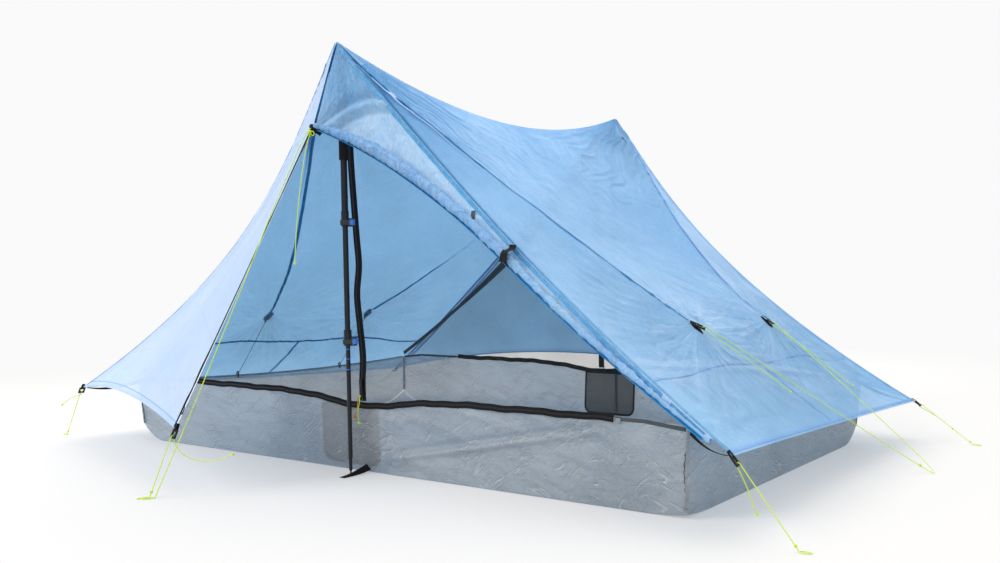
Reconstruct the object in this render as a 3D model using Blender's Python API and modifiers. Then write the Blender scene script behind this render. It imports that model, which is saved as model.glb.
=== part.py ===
"""A side entry tent pitched on two trekking poles, with its guylines out.

Metres, +Z up. X runs along the long side and Y across it, the near side at -Y. The origin is on the ground
at the middle of the floor. Cloth is drawn as sheets of one thickness that keep a small gap to each other.
"""

import math

import bmesh
import bpy
import numpy as np
from mathutils import Matrix, Vector

# Cloth
CLOTH = 0.0016
CLOTH_GAP = 0.0005
LAYER = 0.0022
CONTACT_GAP = 0.0003

# Bathtub floor
FLOOR_LENGTH = 2.24
FLOOR_WIDTH = 1.18
WALL_HEIGHT = 0.224
WALL_LEAN = 0.012
WALL_MIDDLE_DIP = 0.028
WALL_DIP_REACH = 0.2
END_WALL_SAG = 0.02
CORNER_REACH = 0.12
CORNER_STEPS = 3
CORNER_LIFT = 0.05
NEAR_RIGHT_LIFT = 0.008
FOOT_TAB_WIDTH = 0.024
FOOT_TAB_LENGTH = 0.1
LONG_COLUMNS = 4
END_COLUMNS = 4
WALL_STEPS = 2

# Canopy
PEAK_HEIGHT = 1.247
PEAK_SPREAD = 1.34
FAR_PEAK_SHIFT = 0.04
RIDGE_SAG = 0.124
RIDGE_SAG_SKEW_SHARE = 0.106
CORNER_X = 1.296
CORNER_Y = 0.706
NEAR_CORNER_HEIGHT = 0.183
FAR_CORNER_HEIGHT = 0.138
SEAM_BOW_X = 0.167
SEAM_BOW_Y = 0.083
SEAM_BOW_Z = 0.041
SEAM_SKEW_SHARE = -0.401
HEM_BOW_IN = 0.02
HEM_BOW_UP = -0.004
ROOF_STEPS = 16
ROOF_COLUMNS = 12

# Roof tie-outs
TIE_X = 0.944
TIE_Y = 0.232
TIE_Z = 0.432
TIE_U_SHARE = 0.825
TIE_V_SHARE = 0.325
TIE_REACH_SHARE = 0.34
TIE_FALL_POWER = 1.5
SLOPE_STEP_SHARE = 0.001

# Storm doors and their beaks
BEAK_REACH = 0.745
BEAK_HEIGHT = 0.985
DOOR_GAP = 0.012
SEAM_GAP_Y = 0.0016
NEAR_DOOR_X = -0.163
NEAR_DOOR_Y = 1.03
FAR_DOOR_Y = 1.039
DOOR_HEIGHT = 0.17
FAR_DOOR_HEIGHT = 0.2
NEAR_HEM_RISE = 0.04
FAR_HEM_RISE = 0.06
DOOR_STEPS = 12
DOOR_COLUMNS = 5

# Rolled storm door
ROLLED_TOP_WIDTH = 0.272
ROLLED_UPPER_WIDTH = 0.19
ROLLED_MIDDLE_WIDTH = 0.08
ROLLED_LOWER_WIDTH = 0.04
ROLLED_END_WIDTH = 0.012
ROLLED_PLACE_SHARES = (0, 0.15, 0.45, 0.8, 1)
ROLLED_START_SHARE = 0.004
ROLLED_END_SHARE = 0.975
ROLL_RADIUS_TOP = 0.007
ROLL_RADIUS = 0.017
ROLL_RADIUS_END = 0.0065
ROLL_PLACE_SHARES = (0, 0.14, 0.5, 1)
ROLL_TURN = math.radians(290)
ROLLED_STEPS = 22
ROLLED_FLAT_COLUMNS = 3
ROLLED_ROUND_COLUMNS = 9

# Inner mesh and its zips
ZIP_FOOT_X = 0.034
ZIP_HEAD_X = 0.004
FAR_ZIP_SHIFT = -0.012
MESH_TOP_HEIGHT = 1.15
MESH_TOP_Y = 0.618
MESH_END = 0.014
MESH_START_SHARE = 0.08
MESH_STEPS = 7
ZIP_TAPE_WIDTH = 0.026
WALL_TAPE_HEIGHT = 0.018
ZIP_HEAD_HEIGHT = 1.02
ZIP_TAPE_STEPS = 8
SLIDER_WIDTH = 0.011
SLIDER_HEIGHT = 0.016
SLIDER_DEPTH = 0.005
PULL_WIDTH = 0.006
PULL_LENGTH = 0.034
PULL_THICKNESS = 0.0016
SLIDER_FOOT_HEIGHT = 0.262

# Mesh pockets
POCKET_WIDTH = 0.24
POCKET_HEIGHT = 0.168
POCKET_DEPTH = 0.012
POCKET_FOOT = 0.022
POCKET_CORNER = 0.03
POCKET_CORNER_STEPS = 3
NEAR_POCKET_X = -0.03
FAR_POCKET_X = 0.068

# Poles, measured along their own axis from the tip
NEAR_FOOT_X = 0.047
NEAR_HEAD_X = -0.006
FAR_FOOT_X = 0.061
FAR_HEAD_X = 0.042
POLE_FOOT_Y = 0.655
POLE_HEAD_Y = 0.650
POLE_AIM_HEIGHT = 1.23
UPPER_RADIUS = 0.009
MIDDLE_RADIUS = 0.0074
LOWER_RADIUS = 0.0059
TUBE_WALL = 0.001
TUBE_CLEARANCE = 0.0003
UPPER_LOCK_SHARE = 0.5902
LOWER_LOCK_SHARE = 0.3152
COLLAR_HEIGHT = 0.046
COLLAR_RADIUS = 0.0105
COLLAR_CHAMFER = 0.0015
MIDDLE_INSERT = 0.157
LOWER_INSERT = 0.11
GRIP_LENGTH = 0.32
GRIP_HEAD_RADIUS = 0.014
GRIP_HANDLE_RADIUS = 0.0145
GRIP_WAIST_RADIUS = 0.0125
GRIP_HANDLE_SHARE = 0.42
GRIP_DOME_SHARES = (0.35, 0.7, 0.92)
GRIP_CAP = 0.02
TIP_LENGTH = 0.05
TIP_RADIUS = 0.0046
POINT_RADIUS = 0.0022
POINT_LENGTH = 0.012
POLE_SIDES = 20
MERGE = 0.00001
SEAT_SEARCH_SHARE = 0.1
SEAT_SEARCH_STEPS = 36

# Pole lock levers
HINGE_OFFSET = 0.0215
NUT_RADIUS = 0.007
NUT_HEIGHT = 0.015
PIN_RADIUS = 0.0015
PIN_CLEARANCE = 0.0003
LEVER_THICKNESS = 0.0025
LEVER_CLEARANCE = 0.0005
LEVER_ROOT = 0.005
LEVER_WRAP = math.radians(168)
LEVER_DROP = 0.0115
EAR_THICKNESS = 0.004
EAR_WIDTH = 0.009
EAR_MARGIN = 0.0035
EAR_BITE = 0.0013
LOCK_BEARING = math.radians(29.2)
LEVER_STEPS = 8
LEVER_SIDES = 16
PIN_SIDES = 10

# Cord adjusters, straps and cords
ADJUSTER_LENGTH = 0.024
ADJUSTER_WIDTH = 0.018
ADJUSTER_THICKNESS = 0.0045
ADJUSTER_BAR = 0.0055
ADJUSTER_RAIL = 0.004
ADJUSTER_SEAT = 0.0014
DOOR_ADJUSTER_SEAT = 0.0005
ROOF_ADJUSTER_TILT_SHARE = 0.14
CORD = 0.0024
CORD_TURN_RADIUS = 0.0049
CORD_TURN_RISE = 0.0026
CORD_TURN_STEPS = 4
CORD_RESOLUTION = 2
INNER_CORD = 0.0018
HOOK_RADIUS = 0.0035
HOOK_TAIL = 0.012
HOOK_ANGLES = (130, 90, 50, 15)
STRAP_WIDTH = 0.015
STRAP_SAG = 0.012
STRAP_STEPS = 7
STRAP_REACH_SHARE = 0.93
TIE_STRAP_WIDTH = 0.02
TIE_STRAP_ROW = 13
TIE_STRAP_FIRST_STEP = 1
TIE_STRAP_STEPS = 6

# Where each guyline ends. These are the hand-laid points of the cords.
CORNER_STAKES = {
    ("near", "left"): (-1.442, -0.689, 0.0016),
    ("near", "right"): (1.446, -0.698, 0.0016),
    ("far", "left"): (-1.494, 0.716, 0.0016),
    ("far", "right"): (1.494, 0.716, 0.0016),
}
CORNER_TAILS = {
    ("near", "left"): (-1.352, -0.752, 0.120),
    ("near", "right"): (1.325, -0.640, 0.045),
    ("far", "left"): (-1.420, 0.730, 0.040),
    ("far", "right"): (1.420, 0.760, 0.040),
}
BRIDLE_ENDS = {
    "right": ((1.455, 0.186, 0.0200), (1.494, 0.190, 0.0016), (1.470, 0.215, 0.0200)),
    "left": ((-1.455, 0.186, 0.0200), (-1.494, 0.190, 0.0016), (-1.470, 0.215, 0.0200)),
}
SIDE_TAILS = {
    ("near", "right"): (1.171, -0.100, 0.247),
    ("far", "right"): (1.211, 0.300, 0.227),
    ("near", "left"): (-1.171, -0.130, 0.250),
    ("far", "left"): (-1.200, 0.290, 0.227),
}
NEAR_BEAK_GUYLINE = (
    (0.004, -0.806, 0.605),
    (0.003, -0.800, 0.700),
    (0.000, -0.782, 0.850),
    (-0.001, -0.762, 0.950),
    (-0.0016, -0.7502, 0.9790),
    (-0.0014, -0.7506, 0.9840),
    (-0.003, -0.758, 0.980),
    (-0.034, -0.826, 0.796),
    (-0.085, -0.920, 0.492),
    (-0.134, -1.010, 0.209),
    (-0.171, -1.078, 0.0016),
)
FAR_BEAK_GUYLINE = (
    (0.040, 0.7461, 0.9846),
    (0.040, 0.7530, 0.9830),
    (0.040, 0.7640, 0.9720),
    (0.040, 0.842, 0.742),
    (0.040, 0.967, 0.371),
    (0.040, 1.092, 0.0016),
)
NEAR_DOOR_STAKE = (-0.186, -1.083, 0.0016)
NEAR_DOOR_TAIL = ((-0.150, -1.020, 0.095), (-0.105, -0.985, 0.070), (-0.050, -0.960, 0.088))
ROUTE_TOLERANCE = 0.00025
ROUTE_STEPS = 12

SIDES = {"near": -1, "far": 1}
ENDS = {"left": -1, "right": 1}

# Colour, roughness, metallic
FINISHES = {
    "roof_laminate": ((0.29, 0.50, 0.78), 0.35, 0.0),
    "door_laminate": ((0.60, 0.77, 0.95), 0.35, 0.0),
    "floor_laminate": ((0.36, 0.42, 0.46), 0.45, 0.0),
    "mesh": ((0.45, 0.47, 0.48), 0.8, 0.0),
    "black_webbing": ((0.012, 0.012, 0.013), 0.75, 0.0),
    "black_plastic": ((0.015, 0.015, 0.016), 0.4, 0.0),
    "yellow_cord": ((0.72, 0.92, 0.05), 0.7, 0.0),
    "carbon_tube": ((0.10, 0.11, 0.12), 0.3, 0.1),
    "grip_foam": ((0.03, 0.03, 0.03), 0.9, 0.0),
    "blue_metal": ((0.05, 0.25, 0.65), 0.3, 0.8),
}

HALF_LENGTH = FLOOR_LENGTH / 2
HALF_WIDTH = FLOOR_WIDTH / 2
HALF_CLOTH = CLOTH / 2


def clear_scene():
    for old in list(bpy.data.objects):
        bpy.data.objects.remove(old)


def new_collection(name):
    made = bpy.data.collections.new(name)
    bpy.context.scene.collection.children.link(made)
    return made


def finish_of(name):
    """The material of that name, made on first use."""
    if name in bpy.data.materials:
        return bpy.data.materials[name]
    colour, roughness, metallic = FINISHES[name]
    made = bpy.data.materials.new(name)
    made.use_nodes = True
    shader = made.node_tree.nodes["Principled BSDF"]
    shader.inputs["Base Color"].default_value = (*colour, 1)
    shader.inputs["Roughness"].default_value = roughness
    shader.inputs["Metallic"].default_value = metallic
    return made


def add_object(name, data, finish):
    made = bpy.data.objects.new(name, data)
    made.data.materials.append(finish_of(finish))
    parts.objects.link(made)
    return made


def add_cutter(name, data):
    made = bpy.data.objects.new(name, data)
    made.hide_render = True
    made.display_type = "WIRE"
    cutters.objects.link(made)
    return made


def blend_curve(shares, values, share):
    """A smooth value through chosen places, flat or sloped as its neighbours are."""
    place = max(1, min(len(shares) - 1, sum(share > s for s in shares)))
    left, right = shares[place - 1], shares[place]
    slopes = np.gradient(np.array(values, float), np.array(shares, float))
    width = right - left
    t = (share - left) / width
    rise = (2 * t ** 3 - 3 * t ** 2 + 1) * values[place - 1] + (3 * t ** 2 - 2 * t ** 3) * values[place]
    return rise + width * ((t ** 3 - 2 * t ** 2 + t) * slopes[place - 1] + (t ** 3 - t ** 2) * slopes[place])


def cloth(name, surface, rows, columns, finish):
    """A sheet of cloth through surface(i, j), rows along the first number and columns along the second."""
    net = bmesh.new()
    bmesh.ops.create_grid(net, x_segments=rows, y_segments=columns, size=1)
    for vertex in net.verts:
        i = round((vertex.co.x + 1) / 2 * rows)
        j = round((vertex.co.y + 1) / 2 * columns)
        vertex.co = Vector(surface(i, j))
    return thicken(name, net, finish)


def thicken(name, net, finish):
    bmesh.ops.recalc_face_normals(net, faces=net.faces)
    sheet = bpy.data.meshes.new(name)
    net.to_mesh(sheet)
    net.free()
    sheet.shade_smooth()
    made = add_object(name, sheet, finish)
    shell = made.modifiers.new("Thickness", "SOLIDIFY")
    shell.thickness = CLOTH
    shell.offset = 0
    return made


def patch(first, last, start, end):
    """A surface spanned by four edge curves: first and last run along v, start and end along u."""

    def at(u, v):
        ruled = (1 - u) * first(v) + u * last(v) + (1 - v) * start(u) + v * end(u)
        corners = (1 - u) * ((1 - v) * first(0) + v * first(1)) + u * ((1 - v) * last(0) + v * last(1))
        return ruled - corners

    return at


def straight(a, b):
    return lambda t: np.array(a) * (1 - t) + np.array(b) * t


# Shared curves of the canopy
def peak(side):
    return np.array([FAR_PEAK_SHIFT if side == "far" else 0, SIDES[side] * PEAK_SPREAD / 2, PEAK_HEIGHT])


def canopy_corner(side, end):
    height = FAR_CORNER_HEIGHT if side == "far" else NEAR_CORNER_HEIGHT
    return np.array([ENDS[end] * CORNER_X, SIDES[side] * CORNER_Y, height])


def skewed_bow(t, skew_share):
    return 4 * t * (1 - t) * (1 + skew_share * (1 - 2 * t))


def seam(side, end, t):
    """The seam between roof and storm door, from the peak down to the canopy's corner."""
    a, b = peak(side), canopy_corner(side, end)
    bow = np.array([-ENDS[end] * SEAM_BOW_X, -SIDES[side] * SEAM_BOW_Y, SEAM_BOW_Z])
    return a + (b - a) * t + bow * skewed_bow(t, SEAM_SKEW_SHARE)


def ridge(v):
    line = peak("near") * (1 - v) + peak("far") * v
    return line - np.array([0, 0, RIDGE_SAG * skewed_bow(v, -RIDGE_SAG_SKEW_SHARE)])


def hem(end, v):
    line = canopy_corner("near", end) * (1 - v) + canopy_corner("far", end) * v
    return line + np.array([-ENDS[end] * HEM_BOW_IN, 0, HEM_BOW_UP]) * 4 * v * (1 - v)


def roof_point(end, u, v):
    """The roof panel's middle surface: u from the ridge to the hem, v from the near to the far seam."""
    aside = np.array([ENDS[end] * LAYER / 2, 0, 0])
    sheet = patch(
        lambda t: ridge(t) + aside,
        lambda t: hem(end, t) + aside,
        lambda t: seam("near", end, t) + aside,
        lambda t: seam("far", end, t) + aside,
    )
    place = sheet(u, v)
    for side, v_share in (("near", TIE_V_SHARE), ("far", 1 - TIE_V_SHARE)):
        lift = tie_point(side, end) - sheet(TIE_U_SHARE, v_share)
        away = math.hypot(u - TIE_U_SHARE, v - v_share) / TIE_REACH_SHARE
        held = min(1, min(v, 1 - v) / TIE_V_SHARE, (1 - u) / (1 - TIE_U_SHARE))
        place = place + lift * held * max(0, 1 - away) ** TIE_FALL_POWER
    return place


def tie_point(side, end):
    return np.array([ENDS[end] * TIE_X, SIDES[side] * TIE_Y, TIE_Z])


def stations(marks_share, count):
    """Even steps between marked shares, so that a grid line falls on each mark."""
    made = []
    for a, b in zip(marks_share, marks_share[1:]):
        steps = max(1, round((b - a) * count))
        made += [a + (b - a) * k / steps for k in range(steps)]
    return made + [marks_share[-1]]


def roof_normal(end, u, v):
    step = SLOPE_STEP_SHARE
    along = roof_point(end, u + step, v) - roof_point(end, u - step, v)
    across = roof_point(end, u, v + step) - roof_point(end, u, v - step)
    normal = np.cross(along, across)
    normal /= np.linalg.norm(normal)
    return normal * np.sign(normal[2])


def make_roof(end):
    rows = stations((0, TIE_U_SHARE, 1), ROOF_STEPS)
    columns = stations((0, TIE_V_SHARE, 1 - TIE_V_SHARE, 1), ROOF_COLUMNS)
    return cloth(
        "canopy_roof_" + end,
        lambda i, j: roof_point(end, rows[i], columns[j]),
        len(rows) - 1,
        len(columns) - 1,
        "roof_laminate",
    )


# Storm doors
def apex(side):
    return np.array([peak(side)[0], SIDES[side] * BEAK_REACH, BEAK_HEIGHT])


def door_foot(side, end):
    if side == "near":
        return np.array([NEAR_DOOR_X, -NEAR_DOOR_Y, DOOR_HEIGHT])
    return np.array([peak(side)[0] + ENDS[end] * DOOR_GAP / 2, FAR_DOOR_Y, FAR_DOOR_HEIGHT])


def door_edge_shift(side, end):
    """How far the door's middle surface stands off the roof's, and off the other door's at the beak."""
    return np.array([ENDS[end] * LAYER, SIDES[side] * SEAM_GAP_Y, 0])


def door_point(side, end, u, v):
    """A storm door that is set up: u from the peak to the hem, v from the seam to the free edge."""
    shift = door_edge_shift(side, end)
    rise = np.array([0, 0, FAR_HEM_RISE if side == "far" else NEAR_HEM_RISE])
    top, foot = apex(side) + shift, door_foot(side, end)
    corner = canopy_corner(side, end) + shift
    sheet = patch(
        straight(peak(side) + shift, top),
        lambda t: corner * (1 - t) + foot * t + rise * 4 * t * (1 - t),
        lambda t: seam(side, end, t) + shift,
        straight(top, foot),
    )
    return sheet(u, v)


def make_door(side, end):
    return cloth(
        f"storm_door_{side}_{end}",
        lambda i, j: door_point(side, end, i / DOOR_STEPS, j / DOOR_COLUMNS),
        DOOR_STEPS,
        DOOR_COLUMNS,
        "door_laminate",
    )


def rolled_frame(t):
    """Seam point, the way down the cloth, the way out of it, flat width and roll radius at share t."""
    start = seam("near", "right", t) + door_edge_shift("near", "right")
    step = SLOPE_STEP_SHARE
    along = seam("near", "right", t + step) - seam("near", "right", t - step)
    down = apex("near") - peak("near")
    down /= np.linalg.norm(down)
    out = np.cross(along, down)
    out /= np.linalg.norm(out)
    out *= -np.sign(out[1])
    widths = (ROLLED_TOP_WIDTH, ROLLED_UPPER_WIDTH, ROLLED_MIDDLE_WIDTH, ROLLED_LOWER_WIDTH, ROLLED_END_WIDTH)
    width = blend_curve(ROLLED_PLACE_SHARES, widths, t)
    radii = (ROLL_RADIUS_TOP, ROLL_RADIUS, ROLL_RADIUS, ROLL_RADIUS_END)
    radius = blend_curve(ROLL_PLACE_SHARES, radii, t)
    return start, down, out, width, radius


def roll_point(t, angle, clear):
    """A point at that angle round the roll, clear of its middle surface by that much."""
    start, down, out, width, radius = rolled_frame(t)
    centre = start + down * max(0, width - radius) + out * radius
    return centre + (radius + clear) * (down * math.sin(angle) - out * math.cos(angle))


def row_share(row):
    return ROLLED_START_SHARE + (ROLLED_END_SHARE - ROLLED_START_SHARE) * row / ROLLED_STEPS


def rolled_point(i, j):
    t = row_share(i)
    start, down, _, width, radius = rolled_frame(t)
    if j <= ROLLED_FLAT_COLUMNS:
        return start + down * max(0, width - radius) * j / ROLLED_FLAT_COLUMNS
    return roll_point(t, ROLL_TURN * (j - ROLLED_FLAT_COLUMNS) / ROLLED_ROUND_COLUMNS, 0)


def make_rolled_door():
    columns = ROLLED_FLAT_COLUMNS + ROLLED_ROUND_COLUMNS
    return cloth("storm_door_near_right", rolled_point, ROLLED_STEPS, columns, "door_laminate")


def faceted_roll_point(row, angle_step, clear):
    """A point off the roll as it is drawn, at a row and a step round it that need not be whole."""
    low_row, low_step = math.floor(row), math.floor(angle_step)

    def corner(i, j):
        return roll_point(row_share(i), ROLL_TURN * j / ROLLED_ROUND_COLUMNS, clear)

    across = row - low_row
    round_it = angle_step - low_step
    low = corner(low_row, low_step) * (1 - across) + corner(low_row + 1, low_step) * across
    high = corner(low_row, low_step + 1) * (1 - across) + corner(low_row + 1, low_step + 1) * across
    return low * (1 - round_it) + high * round_it


def make_tie_strap():
    """The black webbing that holds the rolled door, round the outside of the roll."""
    row = TIE_STRAP_ROW + 1 / 2
    row_way = roll_point(row_share(TIE_STRAP_ROW + 1), 0, 0) - roll_point(row_share(TIE_STRAP_ROW), 0, 0)
    half_rows = TIE_STRAP_WIDTH / np.linalg.norm(row_way) / 2

    def at(i, j):
        return faceted_roll_point(row + half_rows * (2 * j - 1), TIE_STRAP_FIRST_STEP + i, CLOTH + CLOTH_GAP)

    return cloth("door_tie_strap_near", at, TIE_STRAP_STEPS, 1, "black_webbing")


# Bathtub
def corner_lift(x, y):
    """How far the floor is drawn up at its corner, by the distance to the corner."""
    away = math.hypot(max(0, HALF_LENGTH - abs(x)), max(0, HALF_WIDTH - abs(y))) / CORNER_REACH
    most = NEAR_RIGHT_LIFT if x > 0 > y else CORNER_LIFT
    return most * max(0, 1 - away) ** 2


def zip_x(side, height_share):
    """The zip line's x, from the wall's top to the zip's head."""
    foot, head = ZIP_FOOT_X, ZIP_HEAD_X
    if side == "far":
        foot, head = foot + FAR_ZIP_SHIFT, head + FAR_ZIP_SHIFT
    return foot + (head - foot) * height_share


def long_stations(side):
    """x of the grid lines along a long side, with one on the zip."""
    middle = zip_x(side, 0)
    steps = [CORNER_REACH * k / CORNER_STEPS for k in range(CORNER_STEPS + 1)]
    left = [-HALF_LENGTH + s for s in steps]
    right = [HALF_LENGTH - s for s in reversed(steps)]
    inner_left = [left[-1] + (middle - left[-1]) * k / LONG_COLUMNS for k in range(1, LONG_COLUMNS)]
    inner_right = [middle + (right[0] - middle) * k / LONG_COLUMNS for k in range(1, LONG_COLUMNS)]
    return left + inner_left + [middle] + inner_right + right


def end_stations():
    steps = [CORNER_REACH * k / CORNER_STEPS for k in range(CORNER_STEPS + 1)]
    first = [-HALF_WIDTH + s for s in steps]
    last = [HALF_WIDTH - s for s in reversed(steps)]
    inner = [first[-1] + (last[0] - first[-1]) * k / END_COLUMNS for k in range(1, END_COLUMNS)]
    return first + inner + last


def long_wall_top(side, x):
    """A point on the top edge of a long wall. It dips where the pole and the zip are."""
    dip = WALL_MIDDLE_DIP * math.exp(-(((x - zip_x(side, 0)) / WALL_DIP_REACH) ** 2))
    spread = (HALF_LENGTH + WALL_LEAN) / HALF_LENGTH
    fall = corner_fall(HALF_LENGTH - abs(x))
    return np.array([x * spread, SIDES[side] * (HALF_WIDTH + WALL_LEAN), WALL_HEIGHT - dip - fall])


def corner_fall(away):
    """The wall's top edge drops a little towards the corner."""
    return WALL_LEAN * max(0, 1 - away / CORNER_REACH)


def floor_top(x, y):
    return np.array([x, y, CLOTH + 2 * CLOTH_GAP + corner_lift(x, y)])


def long_wall_point(side, x, share):
    return floor_top(x, SIDES[side] * HALF_WIDTH) * (1 - share) + long_wall_top(side, x) * share


def end_wall_point(end, y, share):
    """An end wall stands between the long walls, a gap inside their inner faces."""
    inset = HALF_CLOTH + CLOTH_GAP
    squeeze = 1 - inset / HALF_WIDTH
    foot = floor_top(ENDS[end] * HALF_LENGTH, y)
    sag = END_WALL_SAG * (1 - (y / HALF_WIDTH) ** 2)
    spread = (HALF_WIDTH + WALL_LEAN) / HALF_WIDTH
    top_z = WALL_HEIGHT - corner_fall(0) - sag
    top = np.array([ENDS[end] * (HALF_LENGTH + WALL_LEAN), y * spread, top_z])
    place = foot * (1 - share) + top * share
    place[1] *= squeeze
    return place


def make_floor():
    """The floor sheet, drawn up at its corners, with a tab out to each pole's foot."""
    half_tab = FOOT_TAB_WIDTH / 2
    feet = {"near": NEAR_FOOT_X, "far": FAR_FOOT_X}
    xs, ys = long_stations("near"), end_stations()
    xs.remove(zip_x("near", 0))
    xs = sorted(xs + [foot + aside for foot in feet.values() for aside in (-half_tab, half_tab)])
    net = bmesh.new()
    bmesh.ops.create_grid(net, x_segments=len(xs) - 1, y_segments=len(ys) - 1, size=1)
    for vertex in net.verts:
        i = round((vertex.co.x + 1) / 2 * (len(xs) - 1))
        j = round((vertex.co.y + 1) / 2 * (len(ys) - 1))
        vertex.co = Vector((xs[i], ys[j], HALF_CLOTH + corner_lift(xs[i], ys[j])))
    for side, sign in SIDES.items():
        rim = [edge for edge in net.edges if edge.is_boundary and all(
            abs(v.co.y - sign * HALF_WIDTH) < CLOTH and abs(v.co.x - feet[side]) < half_tab + CLOTH for v in edge.verts
        )]
        out = bmesh.ops.extrude_edge_only(net, edges=rim)["geom"]
        moved = [item for item in out if isinstance(item, bmesh.types.BMVert)]
        bmesh.ops.translate(net, verts=moved, vec=(0, sign * FOOT_TAB_LENGTH, 0))
    return thicken("bathtub_floor", net, "floor_laminate")


def make_walls():
    for side in SIDES:
        xs = long_stations(side)
        reach = HALF_LENGTH + HALF_CLOTH
        xs[0], xs[-1] = -reach, reach
        cloth(
            "bathtub_wall_" + side,
            lambda i, j, xs=xs, side=side: long_wall_point(side, xs[i], j / WALL_STEPS),
            len(xs) - 1,
            WALL_STEPS,
            "floor_laminate",
        )
    ys = end_stations()
    for end in ENDS:
        cloth(
            "bathtub_wall_" + end,
            lambda i, j, end=end: end_wall_point(end, ys[i], j / WALL_STEPS),
            len(ys) - 1,
            WALL_STEPS,
            "floor_laminate",
        )


# Inner mesh
def mesh_edge(side, end, t):
    """The mesh's slanting edge: the roof seam, drawn in so that it ends at the bathtub's corner."""
    top = long_wall_top(side, ENDS[end] * HALF_LENGTH)
    shift = top - seam(side, end, 1)
    place = seam(side, end, t) + t * shift
    share = (place[2] - WALL_HEIGHT) / (MESH_TOP_HEIGHT - WALL_HEIGHT)
    place[1] = SIDES[side] * (HALF_WIDTH + WALL_LEAN + (MESH_TOP_Y - HALF_WIDTH - WALL_LEAN) * share)
    return place


def mesh_point(side, end, i, j, xs):
    """Half of the mesh, from the zip line (i = 0) out to the bathtub's corner, foot (j = 0) to slanting edge."""
    count = len(xs) - 1
    foot = long_wall_top(side, xs[i]) + np.array([0, 0, CLOTH_GAP])
    t = MESH_START_SHARE + (1 - MESH_START_SHARE) * (i / count)
    head = mesh_edge(side, end, t) + np.array([0, 0, MESH_END * i / count])
    place = foot * (1 - j / MESH_STEPS) + head * j / MESH_STEPS
    if i == 0:
        place[0] = zip_x(side, j / MESH_STEPS) + ENDS[end] * CLOTH_GAP
    return place


def make_mesh_half(side, end):
    middle = zip_x(side, 0)
    xs = [x for x in long_stations(side) if (x - middle) * ENDS[end] >= 0]
    xs.sort(key=lambda x: abs(x - middle))
    return cloth(
        f"mesh_{side}_{end}",
        lambda i, j: mesh_point(side, end, i, j, xs),
        len(xs) - 1,
        MESH_STEPS,
        "mesh",
    )


def zip_line(side, share):
    """The zip's centre line on the outside of the mesh, from the wall's top to the mesh's head."""
    foot = long_wall_top(side, zip_x(side, 0))
    head = mesh_edge(side, "left", MESH_START_SHARE)
    place = foot * (1 - share) + head * share
    place[0] = zip_x(side, share)
    place[1] += SIDES[side] * LAYER
    return place


def make_zip_tape(side):
    """An upside down T: a band along the wall's top, and a strip up the middle for the zip."""
    middle = zip_x(side, 0)
    half = ZIP_TAPE_WIDTH / 2
    xs = [x for x in long_stations(side) if abs(abs(x) - HALF_LENGTH) > CORNER_REACH / 2 and x != middle]
    xs = sorted(xs + [middle - half, middle + half])
    net = bmesh.new()
    bmesh.ops.create_grid(net, x_segments=len(xs) - 1, y_segments=1, size=1)
    for vertex in net.verts:
        i = round((vertex.co.x + 1) / 2 * (len(xs) - 1))
        place = long_wall_top(side, xs[i])
        place[0] = xs[i]
        place[1] += SIDES[side] * LAYER
        place[2] += WALL_TAPE_HEIGHT * (vertex.co.y / 2)
        vertex.co = Vector(place)
    rim = [edge for edge in net.edges if edge.is_boundary and all(
        abs(v.co.x - middle) < ZIP_TAPE_WIDTH and v.co.z > long_wall_top(side, middle)[2] for v in edge.verts
    )]
    head_share = (ZIP_HEAD_HEIGHT - WALL_HEIGHT) / (MESH_TOP_HEIGHT - WALL_HEIGHT)
    for step in range(1, ZIP_TAPE_STEPS + 1):
        out = bmesh.ops.extrude_edge_only(net, edges=rim)["geom"]
        rim = [item for item in out if isinstance(item, bmesh.types.BMEdge)]
        start_share = WALL_TAPE_HEIGHT / (MESH_TOP_HEIGHT - WALL_HEIGHT)
        place = zip_line(side, start_share + (head_share - start_share) * step / ZIP_TAPE_STEPS)
        for vertex in {v for edge in rim for v in edge.verts}:
            outward = half if vertex.co.x > middle_of(rim) else -half
            vertex.co = Vector((place[0] + outward, place[1], place[2]))
    return thicken("zip_tape_" + side, net, "black_webbing")


def middle_of(edges):
    places = [v.co.x for edge in edges for v in edge.verts]
    return sum(places) / len(places)


def box(net, low, high):
    """Adds a box between two corners to the net."""
    made = bmesh.ops.create_cube(net, size=1)["verts"]
    size = Vector(high) - Vector(low)
    bmesh.ops.scale(net, verts=made, vec=size)
    bmesh.ops.translate(net, verts=made, vec=(Vector(low) + Vector(high)) / 2)


def join(base, other, operation="UNION"):
    made = base.modifiers.new(operation.title(), "BOOLEAN")
    made.operation = operation
    made.solver = "EXACT"
    made.object = other


def box_mesh(name, low, high):
    net = bmesh.new()
    box(net, low, high)
    made = bpy.data.meshes.new(name)
    net.to_mesh(made)
    net.free()
    return made


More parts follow.
